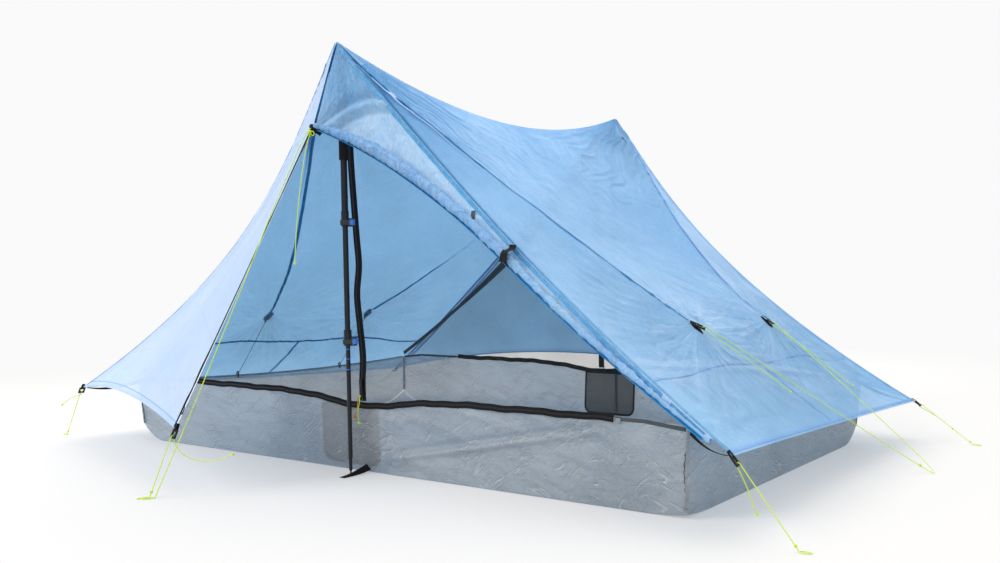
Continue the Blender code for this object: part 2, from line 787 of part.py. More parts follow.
def make_zip_slider(side):
    """The slider body on the zip, with its pull hanging down. Its frame's z axis lies along the zip."""
    foot, head = zip_line(side, 0), zip_line(side, 1)
    up = Vector(head - foot).normalized()
    out = Vector((0, SIDES[side], 0))
    out = (out - up * out.dot(up)).normalized()
    turn = Matrix((out.cross(up), out, up)).transposed().to_4x4()
    share = (SLIDER_FOOT_HEIGHT - foot[2]) / (head[2] - foot[2])
    seat = HALF_CLOTH + CONTACT_GAP
    body = box_mesh(
        "zip_slider_" + side,
        (-SLIDER_WIDTH / 2, seat, -SLIDER_HEIGHT / 2),
        (SLIDER_WIDTH / 2, seat + SLIDER_DEPTH, SLIDER_HEIGHT / 2),
    )
    slider = add_object("zip_slider_" + side, body, "black_plastic")
    pull_back = seat + SLIDER_DEPTH - 2 * PULL_THICKNESS
    pull = add_cutter(
        "zip_pull_" + side,
        box_mesh(
            "zip_pull_" + side,
            (-PULL_WIDTH / 2, pull_back, -PULL_LENGTH - SLIDER_HEIGHT / 4),
            (PULL_WIDTH / 2, pull_back + PULL_THICKNESS, -SLIDER_HEIGHT / 4),
        ),
    )
    place = Matrix.Translation(Vector(foot * (1 - share) + head * share))
    slider.matrix_world = place @ turn
    pull.matrix_world = place @ turn
    join(slider, pull)


def make_pocket(side):
    """A flat mesh bag inside the long wall, open at the top, with round lower corners."""
    centre = NEAR_POCKET_X if side == "near" else FAR_POCKET_X
    lean_share = WALL_LEAN / WALL_HEIGHT
    back = HALF_WIDTH - CLOTH - CONTACT_GAP
    faces = sorted((SIDES[side] * back, SIDES[side] * (back - POCKET_DEPTH)))
    net = bmesh.new()
    low = (centre - POCKET_WIDTH / 2, faces[0], POCKET_FOOT)
    high = (centre + POCKET_WIDTH / 2, faces[1], POCKET_FOOT + POCKET_HEIGHT)
    box(net, low, high)
    lid = [face for face in net.faces if all(v.co.z > POCKET_FOOT for v in face.verts)]
    bmesh.ops.delete(net, geom=lid, context="FACES_ONLY")
    corners = [edge for edge in net.edges if all(v.co.z < POCKET_FOOT + POCKET_CORNER for v in edge.verts)
               and abs(edge.verts[0].co.x - edge.verts[1].co.x) < CLOTH]
    bmesh.ops.bevel(
        net, geom=corners, offset=POCKET_CORNER, segments=POCKET_CORNER_STEPS, affect="EDGES", profile=1 / 2
    )
    for vertex in net.verts:
        vertex.co.y += SIDES[side] * lean_share * (vertex.co.z - CLOTH - 2 * CLOTH_GAP)
    return thicken("mesh_pocket_" + side, net, "mesh")


# Poles
def pole_line(side):
    """The pole's foot and the way it points."""
    foot_x, head_x = (NEAR_FOOT_X, NEAR_HEAD_X) if side == "near" else (FAR_FOOT_X, FAR_HEAD_X)
    foot = Vector((foot_x, SIDES[side] * POLE_FOOT_Y, CLOTH + CLOTH_GAP))
    head = Vector((head_x, SIDES[side] * POLE_HEAD_Y, POLE_AIM_HEIGHT))
    return foot, (head - foot).normalized()


def upper_lock_place():
    """Where the upper lock's collar sits along the pole: the sections are pulled out to suit the peak's height."""
    return PEAK_HEIGHT * UPPER_LOCK_SHARE


def lower_lock_place():
    return PEAK_HEIGHT * LOWER_LOCK_SHARE


def pole_length(side):
    """Distance along the pole to the top of its grip, which seats under the canopy's two roof panels."""
    foot, up = pole_line(side)
    reach = GRIP_HEAD_RADIUS + HALF_CLOTH + CONTACT_GAP
    best = PEAK_HEIGHT
    steps = [SEAT_SEARCH_SHARE * k / SEAT_SEARCH_STEPS for k in range(SEAT_SEARCH_STEPS)]
    for end in ENDS:
        for u in steps:
            for v in steps:
                place = Vector(roof_point(end, u, v if side == "near" else 1 - v))
                offset = place - foot
                along = offset.dot(up)
                aside = (offset - up * along).length
                if aside < reach:
                    best = min(best, along - math.sqrt(reach ** 2 - aside ** 2))
    return best + GRIP_HEAD_RADIUS


def pole_matrix(side):
    """The pole's own frame: z up the pole, x towards the lock's hinge, outside of the tent at -y."""
    foot, up = pole_line(side)
    bearing = LOCK_BEARING if side == "near" else LOCK_BEARING + math.pi
    across = Vector((math.cos(bearing), math.sin(bearing), 0))
    across = (across - up * across.dot(up)).normalized()
    turn = Matrix((across, up.cross(across), up)).transposed().to_4x4()
    return Matrix.Translation(foot) @ turn


def turned(name, profile, finish, sides=POLE_SIDES):
    """A turned piece from (radius, height) pairs, from the top down the outside and back up the inside."""
    net = bmesh.new()
    points = [net.verts.new((radius, 0, height)) for radius, height in profile]
    for a, b in zip(points, points[1:]):
        net.edges.new((a, b))
    if profile[0][0] > 0 or profile[-1][0] > 0:
        net.edges.new((points[-1], points[0]))
    outline = bpy.data.meshes.new(name)
    net.to_mesh(outline)
    net.free()
    made = add_object(name, outline, finish)
    spin = made.modifiers.new("Turn", "SCREW")
    spin.steps = sides
    spin.render_steps = sides
    spin.use_merge_vertices = True
    spin.merge_threshold = MERGE
    spin.use_smooth_shade = True
    return made


def collar_profile(centre, radius, bore):
    """The outside of a lock collar with chamfered ends, down to its bore."""
    low, high = centre - COLLAR_HEIGHT / 2, centre + COLLAR_HEIGHT / 2
    return [
        (radius, high),
        (COLLAR_RADIUS, high - COLLAR_CHAMFER),
        (COLLAR_RADIUS, low + COLLAR_CHAMFER),
        (COLLAR_RADIUS - COLLAR_CHAMFER, low),
        (bore, low),
    ]


def add_lock(tube, side, centre, level):
    """Ears and a pin on the collar, and the lever that turns on the pin."""
    frame = pole_matrix(side)
    lever_top = centre - LEVER_DROP + NUT_HEIGHT / 2
    lever_foot = centre - LEVER_DROP - NUT_HEIGHT / 2
    reach = (COLLAR_RADIUS - EAR_BITE, HINGE_OFFSET + EAR_MARGIN)
    spans = {
        "upper_ear": (lever_top + LEVER_CLEARANCE, lever_top + LEVER_CLEARANCE + EAR_THICKNESS),
        "lower_ear": (lever_foot - LEVER_CLEARANCE - EAR_THICKNESS, lever_foot - LEVER_CLEARANCE),
    }
    for word, (low, high) in spans.items():
        name = f"{tube.name}_{word}"
        ear = add_cutter(name, box_mesh(name, (reach[0], -EAR_WIDTH / 2, low), (reach[1], EAR_WIDTH / 2, high)))
        ear.matrix_world = frame
        join(tube, ear)
    overlap = EAR_THICKNESS / 2
    pin_low = spans["lower_ear"][1] - overlap
    pin_high = spans["upper_ear"][0] + overlap
    pin = add_cutter(tube.name + "_pin", rod_mesh(tube.name + "_pin", PIN_RADIUS, pin_high - pin_low))
    pin.matrix_world = frame @ Matrix.Translation((HINGE_OFFSET, 0, (pin_low + pin_high) / 2))
    join(tube, pin)
    make_lever(side, level, frame, lever_foot, lever_top)


def rod_mesh(name, radius, length):
    net = bmesh.new()
    bmesh.ops.create_cone(net, cap_ends=True, segments=PIN_SIDES, radius1=radius, radius2=radius, depth=length)
    made = bpy.data.meshes.new(name)
    net.to_mesh(made)
    net.free()
    return made


def make_lever(side, level, frame, low, high):
    """A round thumb nut with a bore for the pin, and an arm that wraps the front of the collar."""
    name = f"{level}_lock_lever_{side}"
    bore = PIN_RADIUS + PIN_CLEARANCE
    height = high - low
    profile = [(NUT_RADIUS, height / 2), (NUT_RADIUS, -height / 2), (bore, -height / 2), (bore, height / 2)]
    lever = turned(name, profile, "blue_metal", LEVER_SIDES)
    lever.matrix_world = frame @ Matrix.Translation((HINGE_OFFSET, 0, (low + high) / 2))
    wrap = COLLAR_RADIUS + LEVER_CLEARANCE + LEVER_THICKNESS / 2
    start = Vector((HINGE_OFFSET, -LEVER_ROOT, 0))
    tangent = -math.atan2(LEVER_ROOT, HINGE_OFFSET) - math.acos(wrap / start.length)
    places = [start.lerp(Vector((wrap * math.cos(tangent), wrap * math.sin(tangent), 0)), k / 2) for k in range(2)]
    for step in range(LEVER_STEPS + 1):
        angle = tangent - (LEVER_WRAP + tangent) * step / LEVER_STEPS
        places.append(Vector((wrap * math.cos(angle), wrap * math.sin(angle), 0)))
    net = bmesh.new()
    bmesh.ops.create_grid(net, x_segments=len(places) - 1, y_segments=1, size=1)
    for vertex in net.verts:
        place = places[round((vertex.co.x + 1) / 2 * (len(places) - 1))]
        vertex.co = place + Vector((0, 0, vertex.co.y * (height / 2 - LEVER_CLEARANCE)))
    sheet = bpy.data.meshes.new(name + "_arm")
    net.to_mesh(sheet)
    net.free()
    arm = add_cutter(name + "_arm", sheet)
    arm.matrix_world = frame @ Matrix.Translation((0, 0, (low + high) / 2))
    shell = arm.modifiers.new("Thickness", "SOLIDIFY")
    shell.thickness = LEVER_THICKNESS
    shell.offset = 0
    join(lever, arm)


def make_pole(side):
    frame = pole_matrix(side)
    length = pole_length(side)
    upper_foot = upper_lock_place() - COLLAR_HEIGHT / 2
    middle_foot = lower_lock_place() - COLLAR_HEIGHT / 2
    upper_bore, middle_bore = UPPER_RADIUS - TUBE_WALL - TUBE_CLEARANCE, MIDDLE_RADIUS - TUBE_WALL - TUBE_CLEARANCE / 2
    tube_top = length - GRIP_CAP - CONTACT_GAP
    grip_foot = length - GRIP_LENGTH
    grip_bore = UPPER_RADIUS + TUBE_CLEARANCE
    handle_foot = length - GRIP_LENGTH * GRIP_HANDLE_SHARE
    dome = [(GRIP_HEAD_RADIUS * math.cos(a), length - GRIP_HEAD_RADIUS * (1 - math.sin(a)))
            for a in [math.pi / 2 * (1 - s) for s in GRIP_DOME_SHARES]]
    grip = turned(
        "pole_grip_" + side,
        [
            (0, length),
            *dome,
            (GRIP_HEAD_RADIUS, length - GRIP_HEAD_RADIUS),
            (GRIP_HANDLE_RADIUS, (length + handle_foot) / 2),
            (GRIP_HANDLE_RADIUS, handle_foot + GRIP_WAIST_RADIUS),
            (GRIP_WAIST_RADIUS, handle_foot),
            (GRIP_WAIST_RADIUS, grip_foot),
            (grip_bore, grip_foot),
            (grip_bore, length - GRIP_CAP),
            (0, length - GRIP_CAP),
        ],
        "grip_foam",
    )
    upper = turned(
        "pole_upper_tube_" + side,
        [
            (UPPER_RADIUS, tube_top),
            *collar_profile(upper_lock_place(), UPPER_RADIUS, upper_bore),
            (upper_bore, tube_top),
        ],
        "carbon_tube",
    )
    middle = turned(
        "pole_middle_tube_" + side,
        [
            (MIDDLE_RADIUS, upper_foot + MIDDLE_INSERT),
            *collar_profile(lower_lock_place(), MIDDLE_RADIUS, middle_bore),
            (middle_bore, upper_foot + MIDDLE_INSERT),
        ],
        "carbon_tube",
    )
    lower_top = middle_foot + LOWER_INSERT
    lower_bore = LOWER_RADIUS - TUBE_WALL
    lower = turned(
        "pole_lower_tube_" + side,
        [
            (LOWER_RADIUS, lower_top),
            (LOWER_RADIUS, TIP_LENGTH),
            (TIP_RADIUS, TIP_LENGTH - TIP_RADIUS),
            (TIP_RADIUS, POINT_LENGTH + TIP_RADIUS),
            (POINT_RADIUS, POINT_LENGTH),
            (POINT_RADIUS, 0),
            (0, 0),
            (0, TIP_LENGTH),
            (lower_bore, TIP_LENGTH),
            (lower_bore, lower_top),
        ],
        "carbon_tube",
    )
    for tube in (grip, upper, middle, lower):
        tube.matrix_world = frame
    add_lock(upper, side, upper_lock_place(), "upper")
    add_lock(middle, side, lower_lock_place(), "lower")


# Cord adjusters
def adjuster_frame(seat, pull, face):
    """A frame with z against the pull, so that the adjuster hangs down from z = 0, and y near to face."""
    up = -Vector(pull).normalized()
    across = Vector(face).cross(up).normalized()
    turn = Matrix((across, up.cross(across), up)).transposed().to_4x4()
    return Matrix.Translation(Vector(seat)) @ turn


def make_adjuster(name, frame):
    """A flat frame with a window: the cord passes through it and over its lower bar."""
    half, thick = ADJUSTER_WIDTH / 2, ADJUSTER_THICKNESS / 2
    outline = box_mesh(name, (-half, -thick, -ADJUSTER_LENGTH), (half, thick, 0))
    adjuster = add_object(name, outline, "black_plastic")
    adjuster.matrix_world = frame
    inner = half - ADJUSTER_RAIL
    window = add_cutter(
        name + "_window",
        box_mesh(
            name + "_window",
            (-inner, -2 * thick, -ADJUSTER_LENGTH + ADJUSTER_BAR),
            (inner, 2 * thick, -ADJUSTER_RAIL),
        ),
    )
    window.matrix_world = frame
    join(adjuster, window, "DIFFERENCE")


def cord_turn(frame):
    """The cord's way over the adjuster's lower bar, front to back."""
    middle = ADJUSTER_BAR - ADJUSTER_LENGTH - CORD_TURN_RADIUS + CORD_TURN_RISE
    lead = ADJUSTER_BAR
    places = [Vector((0, -CORD_TURN_RADIUS, middle - lead))]
    for step in range(CORD_TURN_STEPS + 1):
        angle = math.pi * step / CORD_TURN_STEPS
        places.append(Vector((0, -CORD_TURN_RADIUS * math.cos(angle), middle + CORD_TURN_RADIUS * math.sin(angle))))
    places.append(Vector((0, CORD_TURN_RADIUS, middle - lead)))
    return [frame @ place for place in places]


def smooth_route(points):
    """Closely spaced points on a smooth curve through the route's own points."""
    given = [np.array(p, float) for p in points]
    padded = [2 * given[0] - given[1], *given, 2 * given[-1] - given[-2]]
    fine = []
    for a, b, c, d in zip(padded, padded[1:], padded[2:], padded[3:]):
        knots = [0]
        for p, q in ((a, b), (b, c), (c, d)):
            knots.append(knots[-1] + math.sqrt(np.linalg.norm(q - p)))
        for step in range(ROUTE_STEPS):
            t = knots[1] + (knots[2] - knots[1]) * step / ROUTE_STEPS
            fine.append(centripetal(a, b, c, d, knots, t))
    fine.append(given[-1])
    return np.array(fine)


def centripetal(a, b, c, d, knots, t):
    def mix(p, q, low, high):
        return (p * (high - t) + q * (t - low)) / (high - low)

    first = mix(a, b, knots[0], knots[1])
    second = mix(b, c, knots[1], knots[2])
    third = mix(c, d, knots[2], knots[3])
    fourth = mix(first, second, knots[0], knots[2])
    fifth = mix(second, third, knots[1], knots[3])
    return mix(fourth, fifth, knots[1], knots[2])


def keep_bends(fine, tolerance):
    """Keeps only the points of a fine route that it needs to stay within the tolerance."""
    if len(fine) < 3:
        return list(fine)
    way = fine[-1] - fine[0]
    length = max(tolerance, np.linalg.norm(way))
    off = [np.linalg.norm(np.cross(way, p - fine[0])) / length for p in fine[1:-1]]
    worst = int(np.argmax(off))
    if off[worst] < tolerance:
        return [fine[0], fine[-1]]
    return keep_bends(fine[:worst + 2], tolerance)[:-1] + keep_bends(fine[worst + 1:], tolerance)


def make_cord(name, points, diameter, finish):
    """A round cord as a tube along a smooth route."""
    route = keep_bends(smooth_route(points), ROUTE_TOLERANCE)
    curve = bpy.data.curves.new(name, "CURVE")
    curve.dimensions = "3D"
    curve.bevel_depth = diameter / 2
    curve.bevel_resolution = CORD_RESOLUTION
    curve.use_fill_caps = True
    spline = curve.splines.new("POLY")
    spline.points.add(len(route) - 1)
    for point, place in zip(spline.points, route):
        point.co = (*place, 1)
    add_object(name, curve, finish)


def make_corner_gear(side, end):
    """The adjuster at a canopy corner, its guyline, and the strap from the bathtub's corner."""
    corner = canopy_corner(side, end)
    stake = np.array(CORNER_STAKES[side, end])
    pull = stake - corner
    pull /= np.linalg.norm(pull)
    outward = np.array([ENDS[end], SIDES[side], 0]) * LAYER / 2
    frame = adjuster_frame(corner + outward + pull * ADJUSTER_SEAT, pull, (0, 0, 1))
    make_adjuster(f"corner_adjuster_{side}_{end}", frame)
    tail = CORNER_TAILS[side, end]
    turn = cord_turn(frame)
    make_cord(f"corner_guyline_{side}_{end}", [tail, *turn, stake], CORD, "yellow_cord")
    make_corner_strap(side, end)


def make_corner_strap(side, end):
    """A webbing strap from the bathtub's corner out to the underside of the canopy's corner."""
    low = end_wall_point(end, SIDES[side] * HALF_WIDTH, 1)
    low = low + np.array([ENDS[end] * (CLOTH + CLOTH_GAP), 0, -STRAP_WIDTH / 2])
    high = canopy_corner(side, end)
    high = low + (high - low) * STRAP_REACH_SHARE - np.array([0, 0, LAYER])
    sideways = np.cross(high - low, (0, 0, 1))
    sideways /= np.linalg.norm(sideways)

    def at(i, j):
        share = i / STRAP_STEPS
        place = low * (1 - share) + high * share - np.array([0, 0, STRAP_SAG * 4 * share * (1 - share)])
        lean = math.pi / 2 * share
        cross = sideways * math.sin(lean) + np.array([0, 0, math.cos(lean)])
        return place + cross * STRAP_WIDTH * (j - 0.5)

    cloth(f"corner_strap_{side}_{end}", at, STRAP_STEPS, 1, "black_webbing")


def roof_adjuster_frame(side, end):
    share = TIE_V_SHARE if side == "near" else 1 - TIE_V_SHARE
    normal = roof_normal(end, TIE_U_SHARE, share)
    target = np.array(BRIDLE_ENDS[end][0 if side == "near" else 2])
    seat = tie_point(side, end) + normal * (HALF_CLOTH + CONTACT_GAP + ADJUSTER_THICKNESS / 2)
    pull = target - seat
    pull = pull / np.linalg.norm(pull) + normal * ROOF_ADJUSTER_TILT_SHARE
    return adjuster_frame(seat, pull, normal)


def make_side_gear(end):
    """The two adjusters on a roof panel, and the bridle cord that runs from one to the ground and back."""
    frames = {}
    for side in SIDES:
        frames[side] = roof_adjuster_frame(side, end)
        make_adjuster(f"roof_adjuster_{side}_{end}", frames[side])
    near_turn, far_turn = cord_turn(frames["near"]), cord_turn(frames["far"])
    points = [
        SIDE_TAILS["near", end],
        *near_turn,
        *BRIDLE_ENDS[end],
        *reversed(far_turn),
        SIDE_TAILS["far", end],
    ]
    make_cord("side_guyline_" + end, points, CORD, "yellow_cord")


def make_inner_tie(side, end):
    """A thin cord from the inside of the roof's tie-out, hooked over the end wall's top edge."""
    share = TIE_V_SHARE if side == "near" else 1 - TIE_V_SHARE
    normal = roof_normal(end, TIE_U_SHARE, share)
    start = tie_point(side, end) - normal * (HALF_CLOTH + CONTACT_GAP + INNER_CORD / 2)
    edge = end_wall_point(end, start[1], 1)
    sign = ENDS[end]
    eye = edge - np.array([0, 0, HOOK_RADIUS - HALF_CLOTH - INNER_CORD])
    points = [start]
    for angle in HOOK_ANGLES:
        turn = math.radians(angle)
        points.append(eye + HOOK_RADIUS * np.array([sign * math.cos(turn), 0, math.sin(turn)]))
    points.append(eye + np.array([sign * HOOK_RADIUS, 0, -HOOK_RADIUS]))
    points.append(eye + np.array([sign * HOOK_RADIUS, 0, -HOOK_TAIL]))
    make_cord(f"inner_tie_{side}_{end}", points, INNER_CORD, "black_webbing")


def make_near_door_gear():
    """The adjuster at the corner of the near left storm door, and its guyline."""
    corner = door_foot("near", "left")
    stake = np.array(NEAR_DOOR_STAKE)
    pull = stake - corner
    pull /= np.linalg.norm(pull)
    frame = adjuster_frame(corner + pull * DOOR_ADJUSTER_SEAT, pull, (0, 1, 0))
    make_adjuster("door_adjuster_near", frame)
    points = [*reversed(NEAR_DOOR_TAIL), *reversed(cord_turn(frame)), stake]
    make_cord("door_guyline_near", points, CORD, "yellow_cord")


def main():
    make_floor()
    make_walls()
    for end in ENDS:
        make_roof(end)
    make_door("near", "left")
    make_door("far", "left")
    make_door("far", "right")
    make_rolled_door()
    make_tie_strap()
    for side in SIDES:
        for end in ENDS:
            make_mesh_half(side, end)
            make_corner_gear(side, end)
            make_inner_tie(side, end)
        make_zip_tape(side)
        make_zip_slider(side)
        make_pocket(side)
        make_pole(side)
    for end in ENDS:
        make_side_gear(end)
    make_near_door_gear()
    make_cord("beak_guyline_near", NEAR_BEAK_GUYLINE, CORD, "yellow_cord")
    make_cord("beak_guyline_far", FAR_BEAK_GUYLINE, CORD, "yellow_cord")


clear_scene()
parts = new_collection("trekking_pole_tent")
cutters = new_collection("cutters")
main()
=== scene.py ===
"""Looks of a side entry tent on two trekking poles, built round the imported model.

Metres, +Z up, in the model's own frame: X along the long side, the rolled door's side at -Y.
"""

import math

import bpy
import numpy as np
from mathutils import Matrix, Vector, noise

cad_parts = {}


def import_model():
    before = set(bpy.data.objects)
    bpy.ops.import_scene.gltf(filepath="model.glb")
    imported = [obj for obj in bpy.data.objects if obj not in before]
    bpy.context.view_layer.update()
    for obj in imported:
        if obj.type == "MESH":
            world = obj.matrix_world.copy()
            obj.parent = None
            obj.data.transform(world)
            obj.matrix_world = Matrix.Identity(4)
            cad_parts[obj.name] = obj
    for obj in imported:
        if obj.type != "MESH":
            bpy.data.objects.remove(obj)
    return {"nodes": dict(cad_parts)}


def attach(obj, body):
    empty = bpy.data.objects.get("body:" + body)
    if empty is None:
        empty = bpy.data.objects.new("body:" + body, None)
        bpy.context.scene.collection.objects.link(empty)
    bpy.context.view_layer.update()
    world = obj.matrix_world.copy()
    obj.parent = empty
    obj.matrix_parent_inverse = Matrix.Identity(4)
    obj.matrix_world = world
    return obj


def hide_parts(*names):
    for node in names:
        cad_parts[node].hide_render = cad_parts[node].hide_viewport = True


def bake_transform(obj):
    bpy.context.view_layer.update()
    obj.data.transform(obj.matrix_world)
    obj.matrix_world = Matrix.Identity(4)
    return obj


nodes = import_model()["nodes"]
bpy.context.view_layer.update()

# Camera
CAMERA_PLACE = (2.1401, -2.3532, 0.5403)
CAMERA_AZIMUTH = 119.211
CAMERA_ELEVATION = 0.363
LENS = 31.474
SENSOR_WIDTH = 36
SHIFT_X = -0.2

# Sizes shared with the solids
LAYER = 0.0022
CLOTH = 0.0016
CLOTH_GAP = 0.0005
CONTACT_GAP = 0.0003
FLOOR_LENGTH = 2.24
FLOOR_WIDTH = 1.18
WALL_HEIGHT = 0.224
WALL_LEAN = 0.012
WALL_MIDDLE_DIP = 0.028
WALL_DIP_REACH = 0.2
END_WALL_SAG = 0.02
CORNER_REACH = 0.12
CORNER_LIFT = 0.05
NEAR_RIGHT_LIFT = 0.008
PEAK_HEIGHT = 1.247
PEAK_SPREAD = 1.34
FAR_PEAK_SHIFT = 0.04
RIDGE_SAG = 0.124
RIDGE_SAG_SKEW_SHARE = 0.106
CORNER_X = 1.296
CORNER_Y = 0.706
NEAR_CORNER_HEIGHT = 0.183
FAR_CORNER_HEIGHT = 0.138
SEAM_BOW = (0.167, 0.083, 0.041)
SEAM_SKEW_SHARE = -0.401
HEM_BOW_IN = 0.02
HEM_BOW_UP = -0.004
TIE_PLACE = (0.944, 0.232, 0.432)
TIE_U_SHARE = 0.825
TIE_V_SHARE = 0.325
TIE_REACH_SHARE = 0.34
TIE_FALL_POWER = 1.5
BEAK_REACH = 0.745
BEAK_HEIGHT = 0.985
DOOR_GAP = 0.012
SEAM_GAP_Y = 0.0016
NEAR_DOOR = (-0.163, -1.03, 0.17)
FAR_DOOR_Y = 1.039
FAR_DOOR_HEIGHT = 0.2
NEAR_HEM_RISE = 0.04
FAR_HEM_RISE = 0.06
ROLLED_WIDTHS = (0.272, 0.19, 0.08, 0.04, 0.012)
ROLLED_PLACE_SHARES = (0, 0.15, 0.45, 0.8, 1)
ROLLED_START_SHARE = 0.004
ROLLED_END_SHARE = 0.975
ROLL_RADII = (0.007, 0.017, 0.017, 0.0065)
ROLL_PLACE_SHARES = (0, 0.14, 0.5, 1)
ROLL_WINDING = math.radians(2100)
ROLL_TIGHTENING_SHARE = 0.7
ROLL_STRAP_SHARE = 0.604
ZIP_FOOT_X = 0.034
ZIP_HEAD_X = 0.004
FAR_ZIP_SHIFT = -0.012
MESH_TOP_HEIGHT = 1.15
MESH_TOP_Y = 0.618
MESH_START_SHARE = 0.08
MESH_END = 0.014
POCKET_WIDTH = 0.24
POCKET_HEIGHT = 0.168
POCKET_DEPTH = 0.012
POCKET_FOOT = 0.022
POCKET_CORNER = 0.03
POCKETS_X = {"near": -0.03, "far": 0.068}
ADJUSTER_LENGTH = 0.024
ADJUSTER_THICKNESS = 0.0045
ADJUSTER_BAR = 0.0055
ADJUSTER_SEAT = 0.0014
DOOR_ADJUSTER_SEAT = 0.0005
ROOF_ADJUSTER_TILT_SHARE = 0.14
CORD = 0.0024
CORD_TURN_RADIUS = 0.0049
CORD_TURN_RISE = 0.0026
CORD_TURN_STEPS = 4
LOOP_REACH = 0.014
LOOP_HALF_WIDTH = 0.0065
KNOT_BACK = 0.012
INNER_CORD = 0.0018
HOOK_RADIUS = 0.0035
HOOK_TAIL = 0.012
HOOK_ANGLES = (130, 90, 50, 15)
STRAP_WIDTH = 0.015
STRAP_SAG = 0.012
STRAP_REACH_SHARE = 0.93
POLES = {
    "near": ((0.047, -0.655, 0.0021), (-0.006, -0.650, 1.23)),
    "far": ((0.061, 0.655, 0.0021), (0.042, 0.650, 1.23)),
}

LEVER_NUTS = {
    "upper_lock_lever_near": (0.03451, -0.64155, 0.72667),
    "lower_lock_lever_near": (0.04929, -0.64295, 0.38406),
    "upper_lock_lever_far": (0.03103, 0.64156, 0.72615),
    "lower_lock_lever_far": (0.03633, 0.64296, 0.38327),
}
LEVER_NUT_REACH = 0.0104
SLIDER_HEIGHT = 0.262
HOOK_WIRE = 0.0042
HOOK_WIRE_REACH = 0.0100
RING_PLACES = (0.36, 0.332, 0.302)
RING_SIDES = 24
RING_PROFILE = ((0.0058, -0.0012), (0.0061, -0.0012), (0.0061, 0.0012), (0.0058, 0.0012))

# Places along the cords
CORNER_STAKES = {
    ("near", "left"): (-1.442, -0.689, 0.0016),
    ("near", "right"): (1.446, -0.698, 0.0016),
    ("far", "left"): (-1.494, 0.716, 0.0016),
    ("far", "right"): (1.494, 0.716, 0.0016),
}
CORNER_TAILS = {
    ("near", "left"): (-1.352, -0.752, 0.120),
    ("near", "right"): (1.325, -0.640, 0.045),
    ("far", "left"): (-1.420, 0.730, 0.040),
    ("far", "right"): (1.420, 0.760, 0.040),
}
BRIDLE_ENDS = {
    "right": ((1.455, 0.186, 0.0200), (1.494, 0.190, 0.0016), (1.470, 0.215, 0.0200)),
    "left": ((-1.455, 0.186, 0.0200), (-1.494, 0.190, 0.0016), (-1.470, 0.215, 0.0200)),
}
SIDE_TAILS = {
    ("near", "right"): (1.171, -0.100, 0.247),
    ("far", "right"): (1.211, 0.300, 0.227),
    ("near", "left"): (-1.171, -0.130, 0.250),
    ("far", "left"): (-1.200, 0.290, 0.227),
}
NEAR_BEAK_TAIL = (
    (-0.0016, -0.7502, 0.9790),
    (-0.001, -0.762, 0.950),
    (0.000, -0.782, 0.850),
    (0.003, -0.800, 0.700),
    (0.004, -0.806, 0.605),
)
NEAR_BEAK_MAIN = (
    (-0.0016, -0.7502, 0.9790),
    (-0.0014, -0.7506, 0.9840),
    (-0.003, -0.758, 0.980),
    (-0.034, -0.826, 0.796),
    (-0.085, -0.920, 0.492),
    (-0.134, -1.010, 0.209),
    (-0.171, -1.078, 0.0016),
)
FAR_BEAK_MAIN = (
    (0.040, 0.7461, 0.9846),
    (0.040, 0.7530, 0.9830),
    (0.040, 0.7640, 0.9720),
    (0.040, 0.842, 0.742),
    (0.040, 0.967, 0.371),
    (0.040, 1.092, 0.0016),
)
NEAR_DOOR_STAKE = (-0.186, -1.083, 0.0016)
NEAR_DOOR_TAIL = ((-0.150, -1.020, 0.105), (-0.100, -0.982, 0.083), (-0.036, -0.955, 0.104))
BEAK_TAB = (
    (-0.016, -0.012, -0.010), (-0.009, 0.001, -0.001), (0, 0.005, 0.002), (0.009, 0.001, -0.003),
    (0.017, -0.014, -0.013),
)

# Signs, names and sizes that follow from others
SIDES = {"near": -1, "far": 1}
ENDS = {"left": -1, "right": 1}
HALF_LENGTH = FLOOR_LENGTH / 2
HALF_WIDTH = FLOOR_WIDTH / 2
HALF_CLOTH = CLOTH / 2
TOP_LENGTH_SHARE = (HALF_LENGTH + WALL_LEAN) / HALF_LENGTH
DOOR_FINISHES = {"near": "door", "far": "far_door"}
SOLID_FINISHES = {
    "foam": ["pole_grip"],
    "carbon": ["pole_upper_tube", "pole_middle_tube", "pole_lower_tube"],
    "plastic": ["corner_adjuster", "roof_adjuster", "door_adjuster", "zip_slider"],
    "webbing": ["door_tie_strap"],
}

# Paint
ROOF_LIGHT = (0.33, 0.60, 0.90)
ROOF_DARK = (0.21, 0.47, 0.78)
PEAK_SHADE = (0.09, 0.31, 0.60)
# The doors are one film with the roof: the near door's colours are painted lighter, as the key lamp falls straight on
# it, and the far doors' stay near the roof's
DOOR_LIGHT = (0.64, 0.76, 0.94)
DOOR_DARK = (0.54, 0.69, 0.92)
FAR_DOOR_LIGHT = (0.39, 0.65, 0.93)
FAR_DOOR_DARK = (0.28, 0.53, 0.84)
ROLL_LIGHT = (0.62, 0.84, 1.0)
ROLL_DARK = (0.37, 0.65, 0.94)
WOUND_LIGHT = (0.40, 0.72, 0.98)
WOUND_DARK = (0.11, 0.40, 0.84)
PULL_BLUE = (0.003, 0.13, 0.30)
SEAM_BLUE = (0.004, 0.25, 0.52)
SEAM_TEAL = (0.05, 0.34, 0.62)
WALL_LIGHT = (0.58, 0.62, 0.645)
WALL_DARK = (0.36, 0.40, 0.43)
MESH_GREY = (0.035, 0.042, 0.048)
NEON = (0.66, 0.90, 0.06)
ORANGE = (0.85, 0.28, 0.02)
BLACK = (0.005, 0.005, 0.006)
BLUE_METAL = (0.03, 0.20, 0.75)
BACKGROUND = (0.955, 0.955, 0.955)
# How lamp light that comes through the roof and the far doors is tinted
THROUGH_TINT = (0.45, 1.1, 1.2)

